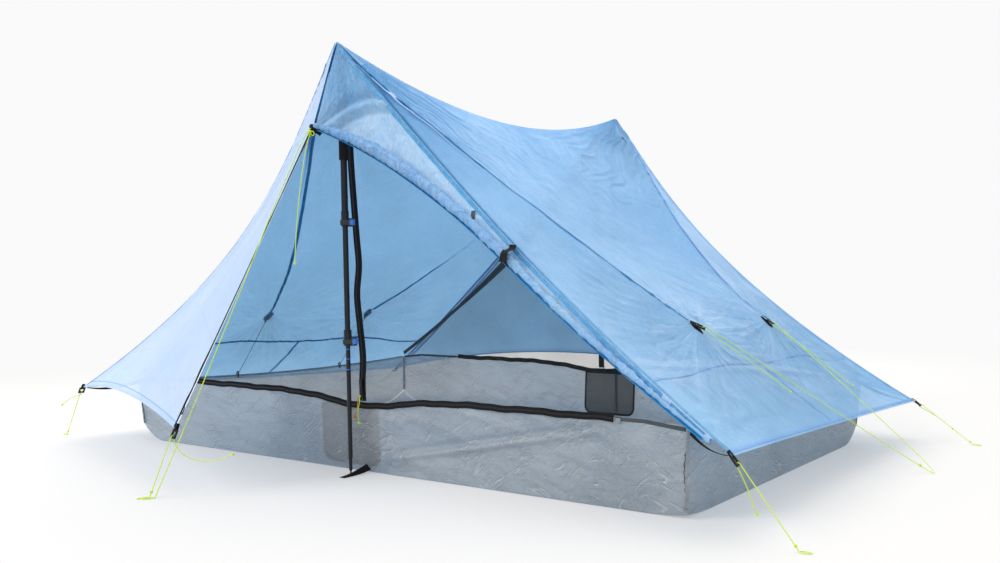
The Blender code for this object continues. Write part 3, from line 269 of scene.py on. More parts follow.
# Stage
FLOOR_COLOUR = (0.675, 0.664, 0.652)
FLOOR_FADE = (2.2, 5.0)
FLOOR_GLOW_SHARE = 0.35
FLOOR_HALF_SIZE = 30
FLOOR_DROP = 0.0006
LAMP_TARGET = (0, 0, 0.4)
WORLD_STRENGTH = 0.85
LAMPS = (
    ("key_lamp", (-3.2, -4.6, 4.2), 3.5, 260),
    ("top_lamp", (0.5, 0.4, 5.0), 4.5, 130),
    ("back_lamp", (-1.5, 5.0, 3.4), 3.5, 120),
)

# Cloth: grids, trims and the reach of their folds
ROOF_GRID = (190, 170)
DOOR_GRID = (130, 90)
ROLLED_DOOR_GRID = (200, 44, 84)
LONG_WALL_GRID = (260, 34)
END_WALL_GRID = (140, 34)
FLOOR_GRID = (150, 80)
MESH_GRID = (70, 46)
POCKET_GRID = (36, 26)
TAPE = 0.0006
ON_CLOTH = 0.0004
UNDER_CLOTH = -0.0014
DOOR_TRIM_LIFT = 0.0003
PEAK_EASE_REACH = 0.11
TIE_LINE_WIDTH = 0.02
TIE_PATCH_HALF_SHARE = 0.012
PULL_SHARES = np.linspace(0.07, 0.985, 70)
SHINE_COUNT = 34
ZIP_SHARES = np.linspace(0.012, 0.862, 150)
WALL_ZIP_X = np.linspace(-0.78, 0.92, 140)
WALL_FOLD_HEIGHT = 0.016

# Patterns
CROSS_SEAM_U_SHARE = 0.885
END_SEAM_V_SHARE = 0.48
PULL_POWER = 1.76
PULL_LIFT_SHARES = {
    ("near", "left"): 0.2, ("far", "left"): 0.6, ("near", "right"): 0.75, ("far", "right"): 0.5,
}
PULL_REACH_SHARE = 0.2
ZIP_SWAY_SHARES = (0, 0.0676, 0.136, 0.246, 0.329, 0.421, 0.494, 0.608, 0.728, 0.86, 1)
ZIP_SWAY = (0, 0, 0.0055, -0.0038, -0.011, 0.0008, -0.0045, -0.012, -0.019, -0.021, -0.021)
CAP_FOLD_END_SHARE = 0.17
# The wall's diagonal fold, raised in the wall's shape and drawn on its cloth as a painted highlight with painted shade
# above
WALL_FOLD = ((0.92, -0.6, 0.195), (0.13, -0.593, 0.045))
GRIP_SHADE = ((0.05, -0.69, 1.10), 0.15)
ROOF_SHADE = ((0.2, -0.5, 1.1), 0.42)
# Places on the bathtub walls painted lighter, where more light falls, and the reach of each
WALL_PAINTED_LIGHT = (((-0.86, -0.6, 0.12), 0.34), ((-0.5, -0.6, 0.16), 0.2), ((0.0, 0.6, 0.12), 0.9))
# How near to white the cloth's own pale streaks and its painted highlights go
STREAK_AND_HIGHLIGHT_WHITE = 0.75
SHADOW_SHIFT = (0.0015, 0.0, -0.0035)
WRINKLE_TURNS = (
    ((0.4, -0.45, 0), 3.2), ((-0.3, 0.35, 0), 4.1), ((0.6, -0.75, 0), 5.2), ((0.3, -0.15, 0), 6.5),
)
WRINKLE_STRETCH = (1.0, 1.0, 0.14)
RIB_SCALE = 900
NET_SCALE = 700
WAVE_TURN = 6.2832
ROOF_GRAIN = ((4, 46, 4), (46, 6, 12))
FRONT_GRAIN = ((70, 30, 6), (30, 12, 14))
WALL_GRAIN = ((16, 30, 60), (9, 14, 26))
DOOR_ZIP_WIDTH = 0.0075
DOOR_ZIP_TWIST = 1.2
DOOR_CROSS_U_SHARE = 0.74


# Materials
class Wire:
    """An output of a node. Sums and products of wires and numbers add Math nodes."""

    def __init__(self, socket):
        self.socket = socket

    def __add__(self, other):
        return maths("ADD", self, other)

    def __sub__(self, other):
        return maths("SUBTRACT", self, other)

    def __rsub__(self, other):
        return maths("SUBTRACT", other, self)

    def __mul__(self, other):
        return maths("MULTIPLY", self, other)


def node(kind, values, output=0, tree=None, **settings):
    """Adds a node, by default to the tree that its wired values are in, and hands back one of its outputs."""
    tree = tree or next(value.socket.id_data for value in values.values() if isinstance(value, Wire))
    made = tree.nodes.new("ShaderNode" + kind)
    for key, value in settings.items():
        setattr(made, key, value)
    for key, value in values.items():
        socket = made.inputs[key]
        if isinstance(value, Wire):
            tree.links.new(value.socket, socket)
        else:
            socket.default_value = (*value, 1) if socket.type == "RGBA" else value
    return Wire(made.outputs[output]) if made.outputs else None


def maths(operation, *values):
    return node("Math", dict(enumerate(values)), operation=operation)


def vector_maths(operation, *values, output=0):
    return node("VectorMath", dict(enumerate(values)), output, operation=operation)


def mix(share, a, b):
    return node("Mix", {0: share, 6: a, 7: b}, 2, data_type="RGBA")


def tone(colour, share, more=0):
    return tuple(min(1, share * c + more) for c in colour)


def new_material(name, place="TexCoord", output="Object"):
    made = bpy.data.materials.new(name)
    made.use_nodes = True
    made.node_tree.nodes.clear()
    return made, node(place, {}, output, made.node_tree)


def ended(made, shader):
    node("OutputMaterial", {"Surface": shader})
    return made


def glossy(made, base, roughness, bump=(), specular=0.5, more=None):
    """Ends a material with one shader. Bump is a height, its strength and its distance."""
    values = {"Base Color": base, "Roughness": roughness, "Specular IOR Level": specular, **(more or {})}
    if bump:
        values["Normal"] = node("Bump", dict(zip(("Height", "Strength", "Distance"), bump)))
    return ended(made, node("BsdfPrincipled", values))


def noise_map(coords, scale, detail=3, roughness=0.5, stretch=None, distortion=0):
    if stretch:
        coords = node("Mapping", {"Vector": coords, "Scale": stretch})
    values = {"Vector": coords, "Scale": scale, "Detail": detail, "Roughness": roughness, "Distortion": distortion}
    return node("TexNoise", values, "Fac")


def ramp(value, low, high, from_value=0, to_value=1):
    values = {"Value": value, "From Min": low, "From Max": high, "To Min": from_value, "To Max": to_value}
    return node("MapRange", values, clamp=True)


def crease_lines(coords, scale, width):
    """Thin irregular crease lines, 1 on a line and 0 away from it."""
    warp = node("TexNoise", {"Vector": coords, "Scale": scale * 0.7, "Detail": 2}, "Color")
    push = node("VectorMath", {0: warp, "Scale": 0.9 / scale}, operation="SCALE")
    values = {"Vector": vector_maths("ADD", coords, push), "Scale": scale}
    return ramp(node("TexVoronoi", values, "Distance", feature="DISTANCE_TO_EDGE"), 0, width, 1, 0)


def wrinkles(coords, scale, turn, width, seed):
    """Straight broken creases that all slant one way, 1 on a crease and 0 away from it."""
    values = {"Vector": coords, "Rotation": turn, "Scale": WRINKLE_STRETCH, "Location": (seed,) * 3}
    field = noise_map(node("Mapping", values, vector_type="TEXTURE"), scale, 2, 0.45)
    broken = noise_map(coords, scale * 1.7, 2, stretch=(1.1, 0.9, 1.3))
    return ramp(maths("ABSOLUTE", field - 0.5), 0, width, 1, 0) * ramp(broken, 0.44, 0.58)


def line_mark(coords, a, b, width):
    """1 along the straight line from a to b, broken up, falling to 0 at width from it and towards its ends."""
    a, way = Vector(a), Vector(b) - Vector(a)
    away = vector_maths("SUBTRACT", coords, tuple(a))
    along = vector_maths("DOT_PRODUCT", away, tuple(way / way.length_squared), output=1)
    off = vector_maths("LENGTH", vector_maths("CROSS_PRODUCT", away, tuple(way.normalized())), output=1)
    off = maths("ABSOLUTE", off + (noise_map(coords, 14) - 0.5) * (2 * width))
    ends = ramp(along, 0, 0.12) * ramp(along, 0.7, 1, 1, 0)
    return ramp(off, 0, width, 1, 0) * ends * ramp(noise_map(coords, 60), 0.3, 0.6)


def near_place(coords, place, reach):
    """1 at a place, falling to 0 at reach metres from it."""
    return ramp(vector_maths("DISTANCE", coords, tuple(place), output=1), 0, reach, 1, 0)


def split(value):
    """The three parts of a vector, by the names of their axes."""
    outputs = node("SeparateXYZ", {"Vector": value}).socket.node.outputs
    return dict(zip("XYZ", map(Wire, outputs)))


def radiating(coords, centre, plane, count, reach, seed):
    """Fine straight folds that run out from a point under pull, 0 to 1, in the plane of two of the axes."""
    if plane == "XY":
        parts = split(coords)
        coords = node("CombineXYZ", {**parts, "X": maths("ABSOLUTE", parts["X"])})
    away = vector_maths("SUBTRACT", coords, tuple(centre))
    parts = split(away)
    angle = maths("ARCTAN2", parts[plane[1]], parts[plane[0]])
    r = vector_maths("LENGTH", away, output=1)
    lines = noise_map(node("CombineXYZ", {"X": angle * count, "Y": r * 5.0, "Z": seed}), 1.0, 3, 0.6)
    return ramp(lines, 0.50, 0.72) * ramp(r, reach * 0.25, reach, 1, 0)


def laminate(name, light, dark, clear, glow, roughness=0.42, crease_scale=11.0, bump=0.5, streak_and_highlight_share=0.5, shaded=(),
             hair=0.22, grain=ROOF_GRAIN, crease=0.18, shadow=0.0, pulls=(), pull_plane="XY",
             inside=(1, 1, 1), fold=(), fibre=0.12, pale=()):
    """Thin film cloth: see-through by the share clear, lit from behind by the share glow, creased and streaky. Painted
    highlights on creases and folds whiten it together with its own pale streaks; painted shade lies in folds and near
    the shaded places, painted light near the pale ones.
    """
    made, coords = new_material(name)
    cloud = noise_map(coords, 4.5, 4, 0.55)
    fine = noise_map(coords, 120, 5, 0.7)
    along, across = (noise_map(coords, 10, 5, 0.7, stretch, 0.4) for stretch in grain)
    streaks = ramp(along, 0.42, 0.75) * ramp(across, 0.38, 0.75)
    creases = crease_lines(coords, crease_scale, 0.05)
    small = crease_lines(coords, crease_scale * 3.3, 0.09)
    base = mix(ramp(cloud * 0.75 + fine * 0.35, 0.35, 0.75), dark, light)
    fibres = ramp(noise_map(coords, 2.6, 4, 0.65, grain[0], 0.2), 0.5, 0.72)
    pale_marks_and_highlights = streaks + small * hair + creases * crease + fibres * fibre
    # Painted light: lighter cloth within reach of the given places
    for place, reach in pale:
        near = maths("MINIMUM", near_place(coords, place, reach) * 1.6, 0.75)
        base = mix(near, base, tuple(1.25 * c for c in light))
    pulled = 0.0
    # Folds that run out from pulled points: painted shade in the folds and painted highlights beside them
    for number, (place, reach) in enumerate(pulls):
        dim = radiating(coords, place, pull_plane, 9.0, reach, number * 3.1)
        bright = radiating(coords, place, pull_plane, 11.0, reach, number * 3.1 + 50)
        base = mix(dim * 0.55, base, tone(dark, 0.62))
        pale_marks_and_highlights = pale_marks_and_highlights + bright * (0.9 if pull_plane == "XY" else 0.3)
        pulled = bright - dim + pulled
    # Along the given fold: a painted highlight on it and a painted shade 14 mm above it
    if fold:
        lit = line_mark(coords, *fold, 0.009)
        dim = line_mark(coords, Vector(fold[0]) + Vector((0, 0, 0.014)), fold[1], 0.009)
        base = mix(dim * 0.55, base, tone(dark, 0.4))
        pale_marks_and_highlights = pale_marks_and_highlights + lit * 1.1
    if shadow:
        below = vector_maths("ADD", coords, SHADOW_SHIFT)
        for number, (turn, scale) in enumerate(WRINKLE_TURNS):
            bright = wrinkles(coords, scale, turn, 0.012, number * 4.7)
            base = mix(wrinkles(below, scale, turn, 0.016, number * 4.7) * shadow, base, tone(dark, 0.4))
            pale_marks_and_highlights = pale_marks_and_highlights + bright * 0.9
            pulled = bright + pulled
    # Whitened: the cloth's own pale streaks and fibres, and painted highlights on its creases and folds
    whiten = maths("MINIMUM", pale_marks_and_highlights * streak_and_highlight_share, 1.0)
    base = mix(whiten, base, tone(light, 1 - STREAK_AND_HIGHLIGHT_WHITE, STREAK_AND_HIGHLIGHT_WHITE))
    for place, reach in shaded:
        deep = near_place(coords, place, reach) * ramp(fine, 0.2, 0.6, 0.6, 1)
        base = mix(deep * 0.9, base, PEAK_SHADE)
    height = creases * (3 * crease) + small * hair + fine * 0.25 + fibres * fibre + streaks * 0.4
    if pulls or shadow:
        height = height + pulled * 0.6
    normal = node("Bump", {"Height": height, "Strength": bump, "Distance": 0.003})
    values = {"Base Color": base, "Roughness": roughness, "Normal": normal, "Specular IOR Level": 0.35}
    deeper = mix(0.5, base, tuple(min(1, c * share) for c, share in zip(dark, inside)))
    through = node("BsdfTranslucent", {"Color": deeper, "Normal": normal})
    cloth = node("MixShader", {0: glow, 1: node("BsdfPrincipled", values), 2: through})
    open_share = ramp(cloud + fine, 0.7, 1.3, 1.15, 0.8) * clear * (1.0 - whiten * 0.8)
    window = node("BsdfTransparent", {"Color": tone(light, 0.2, 0.8)}, tree=made.node_tree)
    return ended(made, node("MixShader", {0: open_share, 1: cloth, 2: window}))


def threads(coords, scale, direction):
    values = {"Vector": coords, "Scale": scale / WAVE_TURN, "Distortion": 0.4, "Detail": 1}
    return node("TexWave", values, "Fac", wave_type="BANDS", bands_direction=direction)


def net(name, colour, clear):
    """Fine insect mesh: mostly open, with threads too fine to draw one by one."""
    made, coords = new_material(name)
    weave = threads(coords, NET_SCALE, "X") + threads(coords, NET_SCALE, "Z")
    share = ramp(noise_map(coords, 6), 0.3, 0.7, 1.06, 0.94) * clear - weave * 0.03
    solid = node("BsdfDiffuse", {"Color": colour}, tree=made.node_tree)
    window = node("BsdfTransparent", {}, tree=made.node_tree)
    return ended(made, node("MixShader", {0: share, 1: solid, 2: window}))


def woven(name, colour):
    """Webbing and tape: dark ribs across and a slight fleck."""
    made, coords = new_material(name)
    mixed = threads(coords, RIB_SCALE, "X") * threads(coords, RIB_SCALE, "Z") * 0.6 + noise_map(coords, 600, 2) * 0.4
    return glossy(made, mix(mixed, colour, tone(colour, 2.6, 0.004)), 0.75, (mixed, 0.5, 0.0005), 0.12)


def moulded(name, colour, roughness=0.4, metallic=0.0, grain=900, spread=0.25):
    """Plastic, foam or metal with a fine grain and slightly uneven gloss."""
    made, coords = new_material(name)
    fine = noise_map(coords, grain)
    base = mix(noise_map(coords, grain / 30), colour, tone(colour, 1 + spread, 0.004))
    uneven = ramp(fine, 0.3, 0.7, roughness - 0.08, roughness + 0.1)
    return glossy(made, base, uneven, (fine, 0.25, 0.0003), 0.5 if metallic else 0.25, {"Metallic": metallic})


def carbon(name):
    """Carbon tube: fine diagonal bands under a clear coat."""
    made, coords = new_material(name)
    bands = node("TexWave", {"Vector": coords, "Scale": 160, "Distortion": 0.6}, "Fac", bands_direction="DIAGONAL")
    base = mix(bands * noise_map(coords, 350), (0.004, 0.004, 0.005), (0.022, 0.026, 0.032))
    return glossy(made, base, 0.34, (), 0.25, {"Coat Weight": 0.12, "Coat Roughness": 0.12})


def braided(name, colour):
    """Cord sheath: a small twill over a bright colour."""
    made, coords = new_material(name)
    fleck = noise_map(coords, 1100, 2)
    return glossy(made, mix(ramp(fleck, 0.3, 0.6), tone(colour, 0.6), colour), 0.65, (fleck, 0.5, 0.0004))


def two_tone(name, centre):
    """Black moulding with a metal nut: the nut's colour is on whatever lies within reach of its middle."""
    made, coords = new_material(name)
    fine = noise_map(coords, 1200)
    away = vector_maths("DISTANCE", coords, centre, output=1)
    base = mix(ramp(away, LEVER_NUT_REACH, LEVER_NUT_REACH * 1.02, 1, 0), BLACK, BLUE_METAL)
    base = mix(fine * 0.3, base, (0.05, 0.05, 0.055))
    return glossy(made, base, ramp(fine, 0.3, 0.7, 0.27, 0.45), (fine, 0.2, 0.0003))


NEAR_PEAK, FAR_PEAK = (0, -PEAK_SPREAD / 2, PEAK_HEIGHT), (FAR_PEAK_SHIFT, PEAK_SPREAD / 2, PEAK_HEIGHT)
PEAKS = ((NEAR_PEAK, 0.42), (FAR_PEAK, 0.3))
# Pulled points and the reach of their folds, which get painted shade and painted highlights in the cloth
ROOF_PULLS = (
    ((TIE_PLACE[0], -TIE_PLACE[1], TIE_PLACE[2]), 0.5), (TIE_PLACE, 0.45), (NEAR_PEAK, 0.75), (FAR_PEAK, 0.5),
)
CAP_PULLS = ((NEAR_PEAK, 0.55), ((0, -BEAK_REACH, BEAK_HEIGHT), 0.22))
# Each finish: its slot and its material
FINISHES = {
    "roof": ("roof_laminate", laminate(
        "roof cloth", ROOF_LIGHT, ROOF_DARK, 0.12, 0.38, streak_and_highlight_share=0.32, shaded=(*PEAKS, ROOF_SHADE), hair=0.10,
        crease=0.06, pulls=ROOF_PULLS, inside=THROUGH_TINT)),
    # The near door: the same film painted lighter, as lit straight by the key lamp
    "door": ("door_laminate", laminate(
        "door cloth", DOOR_LIGHT, DOOR_DARK, 0.12, 0.35, streak_and_highlight_share=0.12, bump=0.2, hair=0.10, grain=FRONT_GRAIN)),
    "far_door": ("door_laminate", laminate(
        "far door cloth", FAR_DOOR_LIGHT, FAR_DOOR_DARK, 0.08, 0.3, streak_and_highlight_share=0.12, bump=0.2, hair=0.15,
        grain=FRONT_GRAIN, inside=THROUGH_TINT)),
    "roll": ("door_laminate", laminate(
        "rolled door cloth", ROLL_LIGHT, ROLL_DARK, 0.13, 0.3, crease_scale=16, bump=0.8, streak_and_highlight_share=0.9,
        shaded=((NEAR_PEAK, 0.34), GRIP_SHADE), hair=0.04, grain=FRONT_GRAIN, crease=0.02, pulls=CAP_PULLS,
        pull_plane="XZ", fibre=0.55)),
    "wound": ("door_laminate", laminate(
        "wound door cloth", WOUND_LIGHT, WOUND_DARK, 0.06, 0.3, crease_scale=30, bump=1.0, streak_and_highlight_share=0.9,
        shaded=PEAKS[:1], hair=0.1, grain=FRONT_GRAIN, fibre=0.3)),
    "wall": ("floor_laminate", laminate(
        "bathtub cloth", WALL_LIGHT, WALL_DARK, 0.24, 0.38, roughness=0.32, crease_scale=9, bump=0.9, streak_and_highlight_share=0.6,
        hair=0.05, grain=WALL_GRAIN, crease=0.0, shadow=0.42, fold=WALL_FOLD, fibre=0.15, pale=WALL_PAINTED_LIGHT)),
    "seam": ("roof_laminate", laminate("seam tape", tone(SEAM_BLUE, 1.7), SEAM_BLUE, 0.05, 0.3, streak_and_highlight_share=0.2)),
    "pull": ("roof_laminate", woven("pull seam", PULL_BLUE)),
    "teal": ("roof_laminate", laminate("outer seam", tone(SEAM_TEAL, 1.3), SEAM_TEAL, 0.10, 0.3)),
    "edge": ("door_laminate", laminate("white edge", (0.90, 0.94, 0.98), (0.74, 0.84, 0.94), 0.05, 0.3, streak_and_highlight_share=0.2)),
    "net": ("mesh", net("insect mesh", MESH_GREY, 0.77)),
    "grey_net": ("mesh", net("dense grey mesh", (0.10, 0.115, 0.13), 0.25)),
    "pocket": ("mesh", net("pocket mesh", (0.003, 0.004, 0.005), 0.31)),
    "webbing": ("black_webbing", woven("black webbing", BLACK)),
    "grey_tape": ("black_webbing", woven("grey tape", (0.045, 0.05, 0.055))),
    "plastic": ("black_plastic", moulded("black plastic", (0.006, 0.006, 0.007), 0.38)),
    "cord": ("yellow_cord", braided("neon cord", NEON)),
    "orange": ("yellow_cord", braided("orange cord", ORANGE)),
    "thin_cord": ("black_webbing", braided("thin dark cord", (0.03, 0.035, 0.04))),
    "carbon": ("carbon_tube", carbon("carbon tube")),
    "foam": ("grip_foam", moulded("foam grip", (0.005, 0.005, 0.006), 0.8, grain=450, spread=0.6)),
    "blue_metal": ("blue_metal", moulded("blue anodised metal", BLUE_METAL, 0.3, 0.85, grain=1500)),
    "silver": ("floor_laminate", moulded("silver patch", (0.22, 0.225, 0.23), 0.35, 0.4, grain=1200)),
}


# Curves and surfaces of the tent. Shares may be single numbers or arrays.
def col(t):
    return np.asarray(t, float)[..., None]


def vec(x=0, y=0, z=0):
    return np.array([x, y, z], float)


def unit(vector):
    vector = np.asarray(vector, float)
    return vector / np.linalg.norm(vector, axis=-1, keepdims=True)


def stack(x, y, z):
    return np.stack(np.broadcast_arrays(*(np.asarray(part, float) for part in (x, y, z))), axis=-1)


def outward(side):
    return vec(0, SIDES[side])


def peak(side):
    return np.array(NEAR_PEAK if side == "near" else FAR_PEAK)


def canopy_corner(side, end):
    height = FAR_CORNER_HEIGHT if side == "far" else NEAR_CORNER_HEIGHT
    return vec(ENDS[end] * CORNER_X, SIDES[side] * CORNER_Y, height)


def skewed_bow(t, skew_share=0.0):
    t = np.asarray(t, float)
    return 4 * t * (1 - t) * (1 + skew_share * (1 - 2 * t))


def between(a, b, t):
    return a * (1 - col(t)) + b * col(t)


def seam(side, end, t):
    bow = vec(-ENDS[end] * SEAM_BOW[0], -SIDES[side] * SEAM_BOW[1], SEAM_BOW[2])
    return between(peak(side), canopy_corner(side, end), t) + bow * col(skewed_bow(t, SEAM_SKEW_SHARE))


def ridge(v):
    return between(peak("near"), peak("far"), v) - vec(0, 0, RIDGE_SAG) * col(skewed_bow(v, -RIDGE_SAG_SKEW_SHARE))


def hem(end, v):
    bow = vec(-ENDS[end] * HEM_BOW_IN, 0, HEM_BOW_UP)
    return between(canopy_corner("near", end), canopy_corner("far", end), v) + bow * col(skewed_bow(v))


def patch(u, v, first, last, start, end):
    """The surface between four curves: first and last run along v, start and end along u."""
    ruled = between(first(v), last(v), u) + between(start(u), end(u), v)
    return ruled - between(between(first(0), first(1), v), between(last(0), last(1), v), u)


def tie_point(side, end):
    return vec(ENDS[end] * TIE_PLACE[0], SIDES[side] * TIE_PLACE[1], TIE_PLACE[2])


def tie_v(side):
    return TIE_V_SHARE if side == "near" else 1 - TIE_V_SHARE


def roof_point(end, u, v):
    aside = vec(ENDS[end] * LAYER / 2)

    def sheet(u, v):
        return aside + patch(u, v, ridge, lambda t: hem(end, t), lambda t: seam("near", end, t),
                             lambda t: seam("far", end, t))

    place = sheet(u, v)
    u, v = np.asarray(u, float), np.asarray(v, float)
    for side in SIDES:
        lift = tie_point(side, end) - sheet(TIE_U_SHARE, tie_v(side))
        away = np.hypot(u - TIE_U_SHARE, v - tie_v(side)) / TIE_REACH_SHARE
        held = np.minimum(np.minimum(1, np.minimum(v, 1 - v) / TIE_V_SHARE), (1 - u) / (1 - TIE_U_SHARE))
        place = place + lift * col(held * np.maximum(0, 1 - away) ** TIE_FALL_POWER)
    return place


def pull_path(side, run):
    """Shares along and across a roof panel of the seam from a peak to its tie-out, straight in plan."""
    across = TIE_V_SHARE * run ** PULL_POWER
    return TIE_U_SHARE * run, across if side == "near" else 1 - across


def pull_lift(end, side, u, v):
    """How far the tight seam draws the cloth up towards the straight line between its ends."""
    run = np.linspace(0, 1, 60)
    on_sheet, way = roof_point(end, *pull_path(side, run)), tie_point(side, end) - peak(side)
    share = (on_sheet[:, 0] - peak(side)[0]) / way[0]
    height = peak(side)[2] + way[2] * share - on_sheet[:, 2]
    run_here = np.clip(u / TIE_U_SHARE, 0, 1)
    beyond = np.maximum(0, u - TIE_U_SHARE) / (1 - TIE_U_SHARE)
    lift = np.interp(run_here, run, np.maximum(0, height)) * (1 - beyond)
    across = v if side == "near" else 1 - v
    path = TIE_V_SHARE * run_here ** PULL_POWER
    outer = np.maximum(0, 1 - (across - path) / PULL_REACH_SHARE) ** 2
    return PULL_LIFT_SHARES[side, end] * lift * np.where(across < path, across / np.maximum(path, 0.0001), outer)


def roof_normal(side, end):
    """The roof's normal at a tie-out, upwards."""
    u, v, step = TIE_U_SHARE, tie_v(side), 0.001
    along = roof_point(end, u + step, v) - roof_point(end, u - step, v)
    normal = unit(np.cross(along, roof_point(end, u, v + step) - roof_point(end, u, v - step)))
    return normal * np.sign(normal[2])


def apex(side):
    return vec(peak(side)[0], SIDES[side] * BEAK_REACH, BEAK_HEIGHT)


def door_foot(side, end):
    if side == "near":
        return np.array(NEAR_DOOR)
    return vec(peak(side)[0] + ENDS[end] * DOOR_GAP / 2, FAR_DOOR_Y, FAR_DOOR_HEIGHT)


def door_edge_shift(side, end):
    return vec(ENDS[end] * LAYER, SIDES[side] * SEAM_GAP_Y)


def door_point(side, end, u, v):
    shift = door_edge_shift(side, end)
    rise = vec(0, 0, FAR_HEM_RISE if side == "far" else NEAR_HEM_RISE)
    top, foot, corner = apex(side) + shift, door_foot(side, end), canopy_corner(side, end) + shift
    return patch(
        u, v,
        lambda t: between(peak(side) + shift, top, t),
        lambda t: between(corner, foot, t) + rise * col(skewed_bow(t)),
        lambda t: seam(side, end, t) + shift,
        lambda t: between(top, foot, t),
    )


def blend_curve(shares, values, share):
    """A smooth curve through the given values."""
    shares, values, share = np.array(shares, float), np.array(values, float), np.asarray(share, float)
    slopes = np.gradient(values, shares)
    place = np.clip(np.searchsorted(shares, share), 1, len(shares) - 1)
    width = shares[place] - shares[place - 1]
    t = (share - shares[place - 1]) / width
    rise = (2 * t ** 3 - 3 * t ** 2 + 1) * values[place - 1] + (3 * t ** 2 - 2 * t ** 3) * values[place]
    return rise + width * ((t ** 3 - 2 * t ** 2 + t) * slopes[place - 1] + (t ** 3 - t ** 2) * slopes[place])


def rolled_frame(t):
    """Where the rolled door starts at its seam, its way down and out, and its width and radius there."""
    step = 0.001
    along = seam("near", "right", t + step) - seam("near", "right", t - step)
    down = unit(apex("near") - peak("near"))
    out = unit(np.cross(along, down))
    start = seam("near", "right", t) + door_edge_shift("near", "right")
    width, radius = blend_curve(ROLLED_PLACE_SHARES, ROLLED_WIDTHS, t), blend_curve(ROLL_PLACE_SHARES, ROLL_RADII, t)
    return start, down, out * -np.sign(out[..., 1:2]), width, radius


def corner_lift(x, y):
    away = np.hypot(np.maximum(0, HALF_LENGTH - np.abs(x)), np.maximum(0, HALF_WIDTH - np.abs(y))) / CORNER_REACH
    most = np.where((np.asarray(x) > 0) & (np.asarray(y) < 0), NEAR_RIGHT_LIFT, CORNER_LIFT)
    return most * np.maximum(0, 1 - away) ** 2


def zip_x(side, height_share=0.0):
    shift = FAR_ZIP_SHIFT if side == "far" else 0
    return ZIP_FOOT_X + shift + (ZIP_HEAD_X - ZIP_FOOT_X) * height_share


def long_wall_top(side, x):
    x = np.asarray(x, float)
    dip = WALL_MIDDLE_DIP * np.exp(-(((x - zip_x(side)) / WALL_DIP_REACH) ** 2))
    fall = WALL_LEAN * np.maximum(0, 1 - (HALF_LENGTH - np.abs(x)) / CORNER_REACH)
    return stack(x * TOP_LENGTH_SHARE, SIDES[side] * (HALF_WIDTH + WALL_LEAN), WALL_HEIGHT - dip - fall)


def floor_top(x, y):
    return stack(x, y, CLOTH + 2 * CLOTH_GAP + corner_lift(x, y))


def long_wall_point(side, x, share):
    return between(floor_top(x, SIDES[side] * HALF_WIDTH), long_wall_top(side, x), share)


def end_wall_point(end, y, share):
    squeeze = 1 - (HALF_CLOTH + CLOTH_GAP) / HALF_WIDTH
    y = np.asarray(y, float)
    height = WALL_HEIGHT - WALL_LEAN - END_WALL_SAG * (1 - (y / HALF_WIDTH) ** 2)
    top = stack(ENDS[end] * (HALF_LENGTH + WALL_LEAN), y * (HALF_WIDTH + WALL_LEAN) / HALF_WIDTH, height)
    return between(floor_top(ENDS[end] * HALF_LENGTH + 0 * y, y), top, share) * vec(1, squeeze, 1)


def mesh_edge(side, end, t):
    top = long_wall_top(side, ENDS[end] * HALF_LENGTH)
    place = seam(side, end, t) + col(t) * (top - seam(side, end, 1))
    share = (place[..., 2] - WALL_HEIGHT) / (MESH_TOP_HEIGHT - WALL_HEIGHT)
    y = SIDES[side] * (HALF_WIDTH + WALL_LEAN + (MESH_TOP_Y - HALF_WIDTH - WALL_LEAN) * share)
    return stack(place[..., 0], y, place[..., 2])


def mesh_point(side, end, i_share, j_share):
    i_share, middle = np.asarray(i_share, float), zip_x(side)
    foot = long_wall_top(side, middle + (ENDS[end] * HALF_LENGTH - middle) * i_share) + vec(0, 0, CLOTH_GAP)
    head = mesh_edge(side, end, MESH_START_SHARE + (1 - MESH_START_SHARE) * i_share)
    place = between(foot, head + vec(0, 0, MESH_END) * col(i_share), j_share)
    first = np.maximum(0, 1 - i_share / 0.02)
    place[..., 0] += first * (zip_x(side, j_share) + ENDS[end] * CLOTH_GAP - place[..., 0])
    return place


def zip_line(side, share):
    place = between(long_wall_top(side, zip_x(side)), mesh_edge(side, "left", MESH_START_SHARE), share)
    return stack(zip_x(side, share), place[..., 1] + SIDES[side] * LAYER, place[..., 2])


# Small tools
def lattice(rows, columns):
    return np.meshgrid(np.linspace(0, 1, rows + 1), np.linspace(0, 1, columns + 1), indexing="ij")


def grid_normals(points, axis=None, sign=1):
    """Normals of a grid of points, all turned to one side of an axis if one is named."""
    normals = unit(np.cross(np.gradient(points, axis=0), np.gradient(points, axis=1)))
    return normals if axis is None else normals * np.sign(normals[..., axis:axis + 1] * sign)


def rough(points, scale, seed, octaves=3):
    values = [noise.fractal(Vector(p), 0.7, 2.1, octaves) for p in points.reshape(-1, 3) * scale + seed]
    return np.array(values).reshape(points.shape[:-1])


def fade(value, reach):
    t = np.clip(np.asarray(value, float) / reach, 0, 1)
    return t * t * (3 - 2 * t)


def hump(value, width):
    return np.exp(-((value / width) ** 2))


def edge_mask(u, v, reach_share):
    return fade(np.minimum(np.minimum(u, 1 - u), np.minimum(v, 1 - v)), reach_share)


def crest(x):
    """Sharp folds: narrow crests with broad hollows between them."""
    return 1 - 2 * np.abs(np.sin(x)) ** 0.7


def fan(points, centre, first, second, count, reach, height, phase):
    """Folds that spread from a point which is pulled on."""
    away = points - centre
    r = np.linalg.norm(away, axis=-1)
    angle = np.arctan2(away @ unit(second), away @ unit(first)) + 0.25 * rough(points, 5, 2.7 + phase, 2)
    wave = crest(count * angle / 2 + phase) + 0.5 * crest(0.83 * count * angle + 2 * phase)
    return height * fade(r, 0.12) * hump(r, reach) * wave


